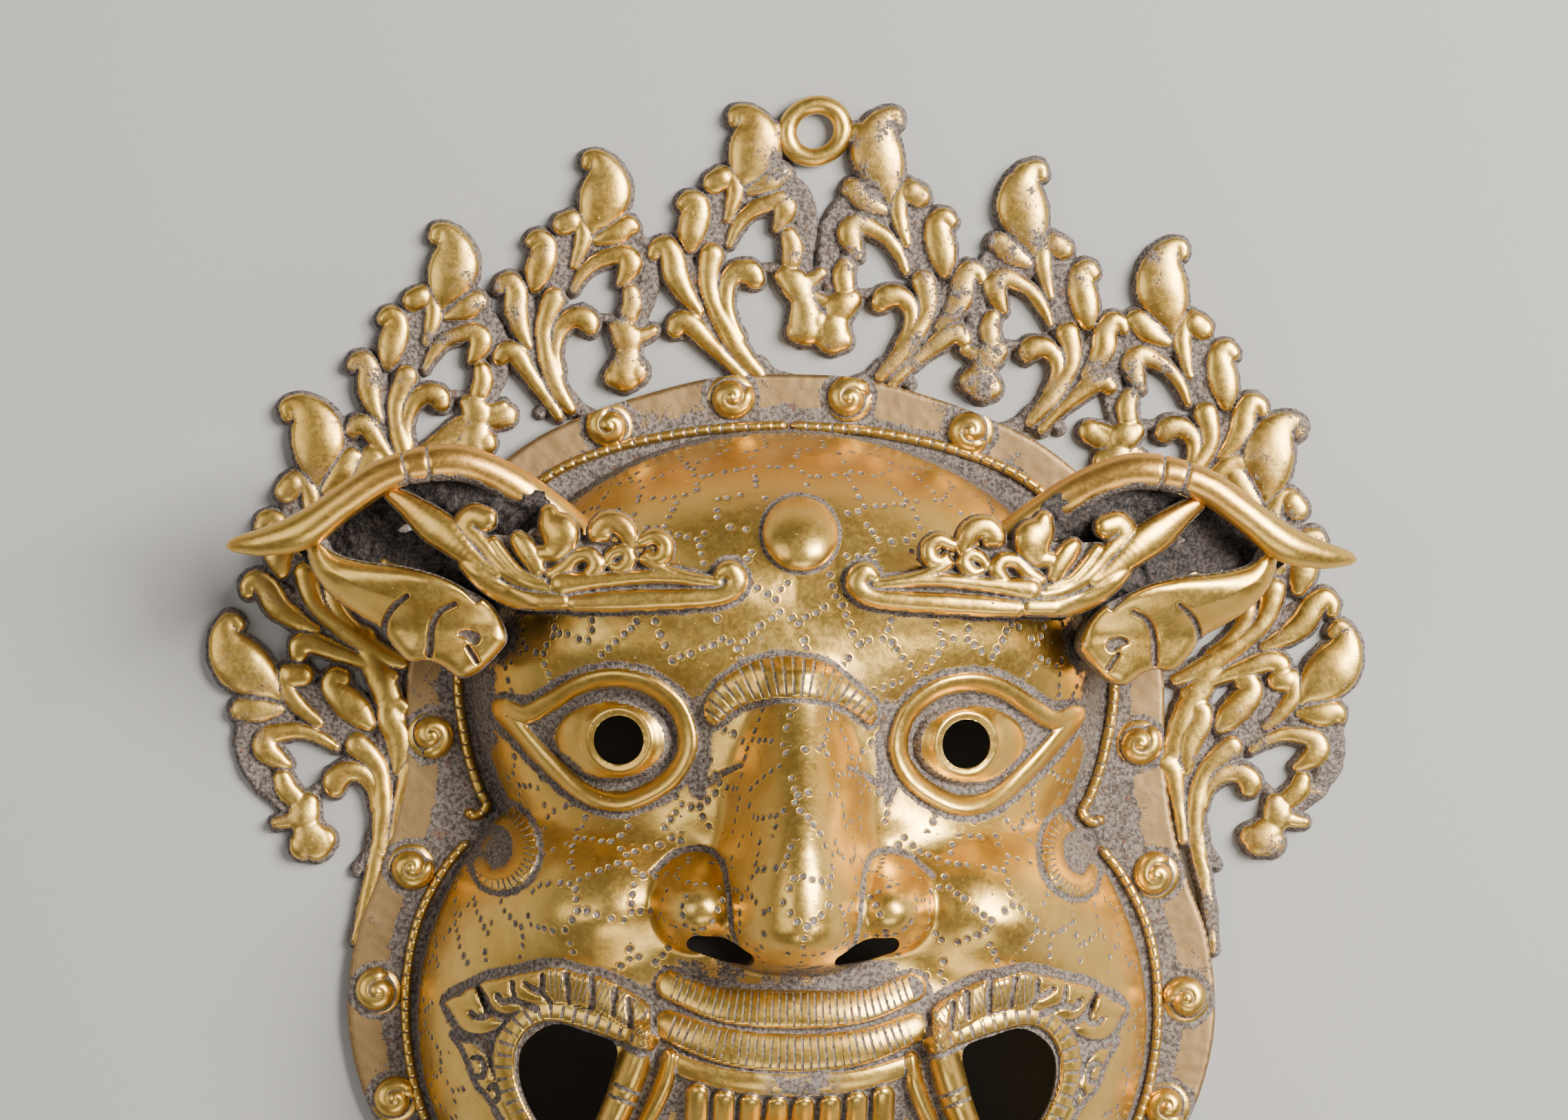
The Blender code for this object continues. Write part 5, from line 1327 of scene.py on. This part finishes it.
# %% Masks
def masks_group():
    tree = bpy.data.node_groups.new("Old brass masks", "ShaderNodeTree")
    for name in ("Dirt", "Tarnish", "Amber", "Painted shade", "Height"):
        tree.interface.new_socket(name, in_out="OUTPUT", socket_type="NodeSocketFloat")
    tree.interface.new_socket("Where", in_out="INPUT", socket_type="NodeSocketVector")
    net = Net(tree)
    where = net.add("NodeGroupInput").outputs["Where"]
    out = net.add("NodeGroupOutput")
    grime = net.mark("grime")
    crumbs = net.noise(where, 1500.0, 2.0, 0.6)
    patches = net.noise(where, 260.0, 3.0, 0.6)
    cloud = net.noise(where, 38.0, 2.0, 0.5)
    ragged = net.plus(net.times(net.minus(crumbs, 0.5), 0.55),
                      net.times(net.minus(patches, 0.5), 0.95))
    ragged = net.plus(ragged, net.times(net.minus(cloud, 0.5), 0.35))
    amount = net.plus(grime, ragged)
    packed = net.ramp(amount, 0.50, 0.58)
    tarnish = net.most(net.ramp(amount, 0.22, 0.56), net.mark("dull"))

    dots = net.mark("dots")
    has_dots = net.ramp(dots, 0.0, 0.0001)
    dot_edge = net.plus(dots, net.times(net.minus(patches, 0.5), 0.35))
    dotted = net.times(net.minus(1.0, net.ramp(dot_edge, 0.68, 0.82)), has_dots)
    dot_bowl = net.times(net.ramp(dots, 0.4, 1.05, -1.0, 0.0), has_dots)
    lip = net.times(net.ramp(dots, 0.74, 0.92), net.ramp(dots, 1.25, 0.92))

    saw = net.math("ABSOLUTE", net.minus(net.math("FRACT", net.mark("ticks")), 0.5))
    cut = net.times(net.ramp(saw, 0.19, 0.09), net.ramp(net.mark("ticked"), 0.6, 0.95))
    broken = net.ramp(patches, 0.36, 0.46)
    cut_dirt = net.times(cut, broken)

    specks = net.noise(where, 900.0, 1.0, 0.4)
    pits = net.times(net.ramp(specks, 0.725, 0.76), net.ramp(patches, 0.50, 0.62))
    dirt = net.most(net.most(packed, dotted), net.most(cut_dirt, pits))
    net.link(dirt, out.inputs["Dirt"])
    net.link(tarnish, out.inputs["Tarnish"])

    split = net.add("ShaderNodeSeparateXYZ")
    net.link(where, split.inputs[0])
    top = net.ramp(net.plus(split.outputs["Y"], net.times(cloud, 0.03)), 0.055, 0.080)
    on_face = net.times(net.ramp(split.outputs["Z"], 0.016, 0.026), top)
    stains = net.times(net.ramp(net.noise(where, 55.0, 3.0, 0.55), 0.60, 0.72), 0.6)
    net.link(net.most(on_face, stains), out.inputs["Amber"])
    # Painted shade: this mark turns the dirt colour near-black on the sheets in the gaps by the ears.
    net.link(net.mark("painted_shade"), out.inputs["Painted shade"])

    rough_dirt = net.times(net.minus(crumbs, 0.4), net.times(packed, 0.9))
    worn = net.times(net.minus(patches, 0.5), 0.18)
    height = net.plus(rough_dirt, worn)
    height = net.plus(height, net.times(dot_bowl, 0.40))
    height = net.plus(height, net.times(lip, 0.12))
    height = net.minus(height, net.times(cut, 0.55))
    height = net.minus(height, net.times(pits, 0.25))
    net.link(height, out.inputs["Height"])
    return tree


masks = masks_group()


# %% The material
def cast_brass():
    material = bpy.data.materials.new("cast_brass")
    material.use_nodes = True
    net = Net(material.node_tree)
    shader = material.node_tree.nodes["Principled BSDF"]
    where = net.add("ShaderNodeTexCoord").outputs["Object"]
    group = net.add("ShaderNodeGroup")
    group.node_tree = masks
    net.link(where, group.inputs["Where"])
    dirt, tarnish = group.outputs["Dirt"], group.outputs["Tarnish"]

    tone = net.noise(where, 120.0, 3.0, 0.6)
    metal = net.blend(net.ramp(tone, 0.3, 0.7), (0.68, 0.415, 0.088), (0.78, 0.515, 0.135))
    metal = net.blend(group.outputs["Amber"], metal, (0.74, 0.40, 0.10))
    metal = net.blend(net.times(tarnish, 0.75), metal, (0.42, 0.265, 0.115))
    metal = net.blend(net.times(net.mark("dull"), 0.75), metal, (0.25, 0.165, 0.085))
    grey = net.noise(where, 1100.0, 2.0, 0.6)
    soil = net.blend(net.ramp(grey, 0.35, 0.65), (0.060, 0.046, 0.039), (0.215, 0.175, 0.150))
    rust = net.ramp(net.noise(where, 420.0, 2.0, 0.5), 0.62, 0.72, 0.0, 0.55)
    soil = net.blend(rust, soil, (0.17, 0.070, 0.026))
    # The near-black colour of painted shade, for the sheets in the gaps between horn, ear and brow.
    black = net.blend(net.ramp(grey, 0.4, 0.62), (0.012, 0.010, 0.009), (0.060, 0.045, 0.038))
    soil = net.blend(group.outputs["Painted shade"], soil, black)
    net.link(net.blend(dirt, metal, soil), shader.inputs["Base Color"])

    metallic = net.minus(1.0, net.times(dirt, 0.94))
    net.link(metallic, shader.inputs["Metallic"])
    scuff = net.ramp(net.noise(where, 700.0, 4.0, 0.7, 0.6), 0.3, 0.75, 0.29, 0.41)
    rough = net.plus(scuff, net.times(tarnish, 0.12))
    rough = net.plus(rough, net.times(net.mark("dull"), 0.10))
    rough = net.most(rough, net.times(dirt, 0.82))
    net.link(rough, shader.inputs["Roughness"])

    bump = net.add("ShaderNodeBump")
    bump.inputs["Strength"].default_value = 1.0
    bump.inputs["Distance"].default_value = 0.00055
    net.link(group.outputs["Height"], bump.inputs["Height"])
    net.link(bump.outputs["Normal"], shader.inputs["Normal"])
    return material


brass = cast_brass()
for piece in pieces:
    piece.data.materials.append(brass)
    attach(piece, "root")
    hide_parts("mask")

# %% [markdown]
# ## Floor, light and camera
#
# The mask lies on a pale floor. The camera looks straight down from the left of the middle.


# %% Floor
FLOOR_SIZE = 6.0
FLOOR_COLOUR = (0.33, 0.325, 0.318, 1.0)
WORLD_COLOUR = (0.56, 0.545, 0.52, 1.0)
WORLD_STRENGTH = 0.31


def pale_floor():
    bpy.ops.mesh.primitive_plane_add(size=FLOOR_SIZE, location=(0, 0, 0))
    floor = bpy.context.object
    floor.name = "floor"
    material = bpy.data.materials.new("pale_floor")
    material.use_nodes = True
    shader = material.node_tree.nodes["Principled BSDF"]
    shader.inputs["Base Color"].default_value = FLOOR_COLOUR
    shader.inputs["Roughness"].default_value = 0.8
    floor.data.materials.append(material)
    return floor


pale_floor()


# %% Light
def soft_box(name, spot, aim, size, power, colour=(1.0, 0.97, 0.93)):
    data = bpy.data.lights.new(name, "AREA")
    data.shape = "RECTANGLE"
    data.size, data.size_y = size
    data.energy = power
    data.color = colour
    lamp = bpy.data.objects.new(name, data)
    bpy.context.scene.collection.objects.link(lamp)
    lamp.location = spot
    lamp.rotation_mode = "QUATERNION"
    lamp.rotation_quaternion = (Vector(aim) - Vector(spot)).to_track_quat("-Z", "Y")
    return lamp


soft_box("key", (0.88, 0.42, 1.05), (0, 0, 0.03), (0.75, 0.70), 66.0, (1.0, 0.965, 0.91))
soft_box("fill", (-1.0, 0.1, 0.9), (0, 0, 0.03), (0.8, 1.0), 5.5)
soft_box("low", (0.2, -1.1, 0.9), (0, -0.05, 0.03), (1.0, 0.6), 6.0)
world = bpy.data.worlds.new("studio")
world.use_nodes = True
background = world.node_tree.nodes["Background"]
background.inputs["Color"].default_value = WORLD_COLOUR
background.inputs["Strength"].default_value = WORLD_STRENGTH
bpy.context.scene.world = world


# %% Camera
CAMERA_SPOT = Vector((-0.056, 0.0394, 1.5))
CAMERA_AIM = Vector((-0.0008, 0.0394, 0.0))
CAMERA_UP = Vector((-0.0122, 1.0, 0.0))
CAMERA_LENS = 148.4


def camera():
    """Looks down at CAMERA_AIM, with the picture's top towards CAMERA_UP."""
    data = bpy.data.cameras.new("camera")
    data.type = "PERSP"
    data.sensor_width = 36.0
    data.lens = CAMERA_LENS
    data.clip_start = 0.05
    data.clip_end = 20.0
    made = bpy.data.objects.new("camera", data)
    bpy.context.scene.collection.objects.link(made)
    back = (CAMERA_SPOT - CAMERA_AIM).normalized()
    right = CAMERA_UP.cross(back).normalized()
    made.location = CAMERA_SPOT
    made.rotation_mode = "QUATERNION"
    made.rotation_quaternion = Matrix((right, back.cross(right), back)).transposed().to_quaternion()
    bpy.context.scene.camera = made
    return made


camera()
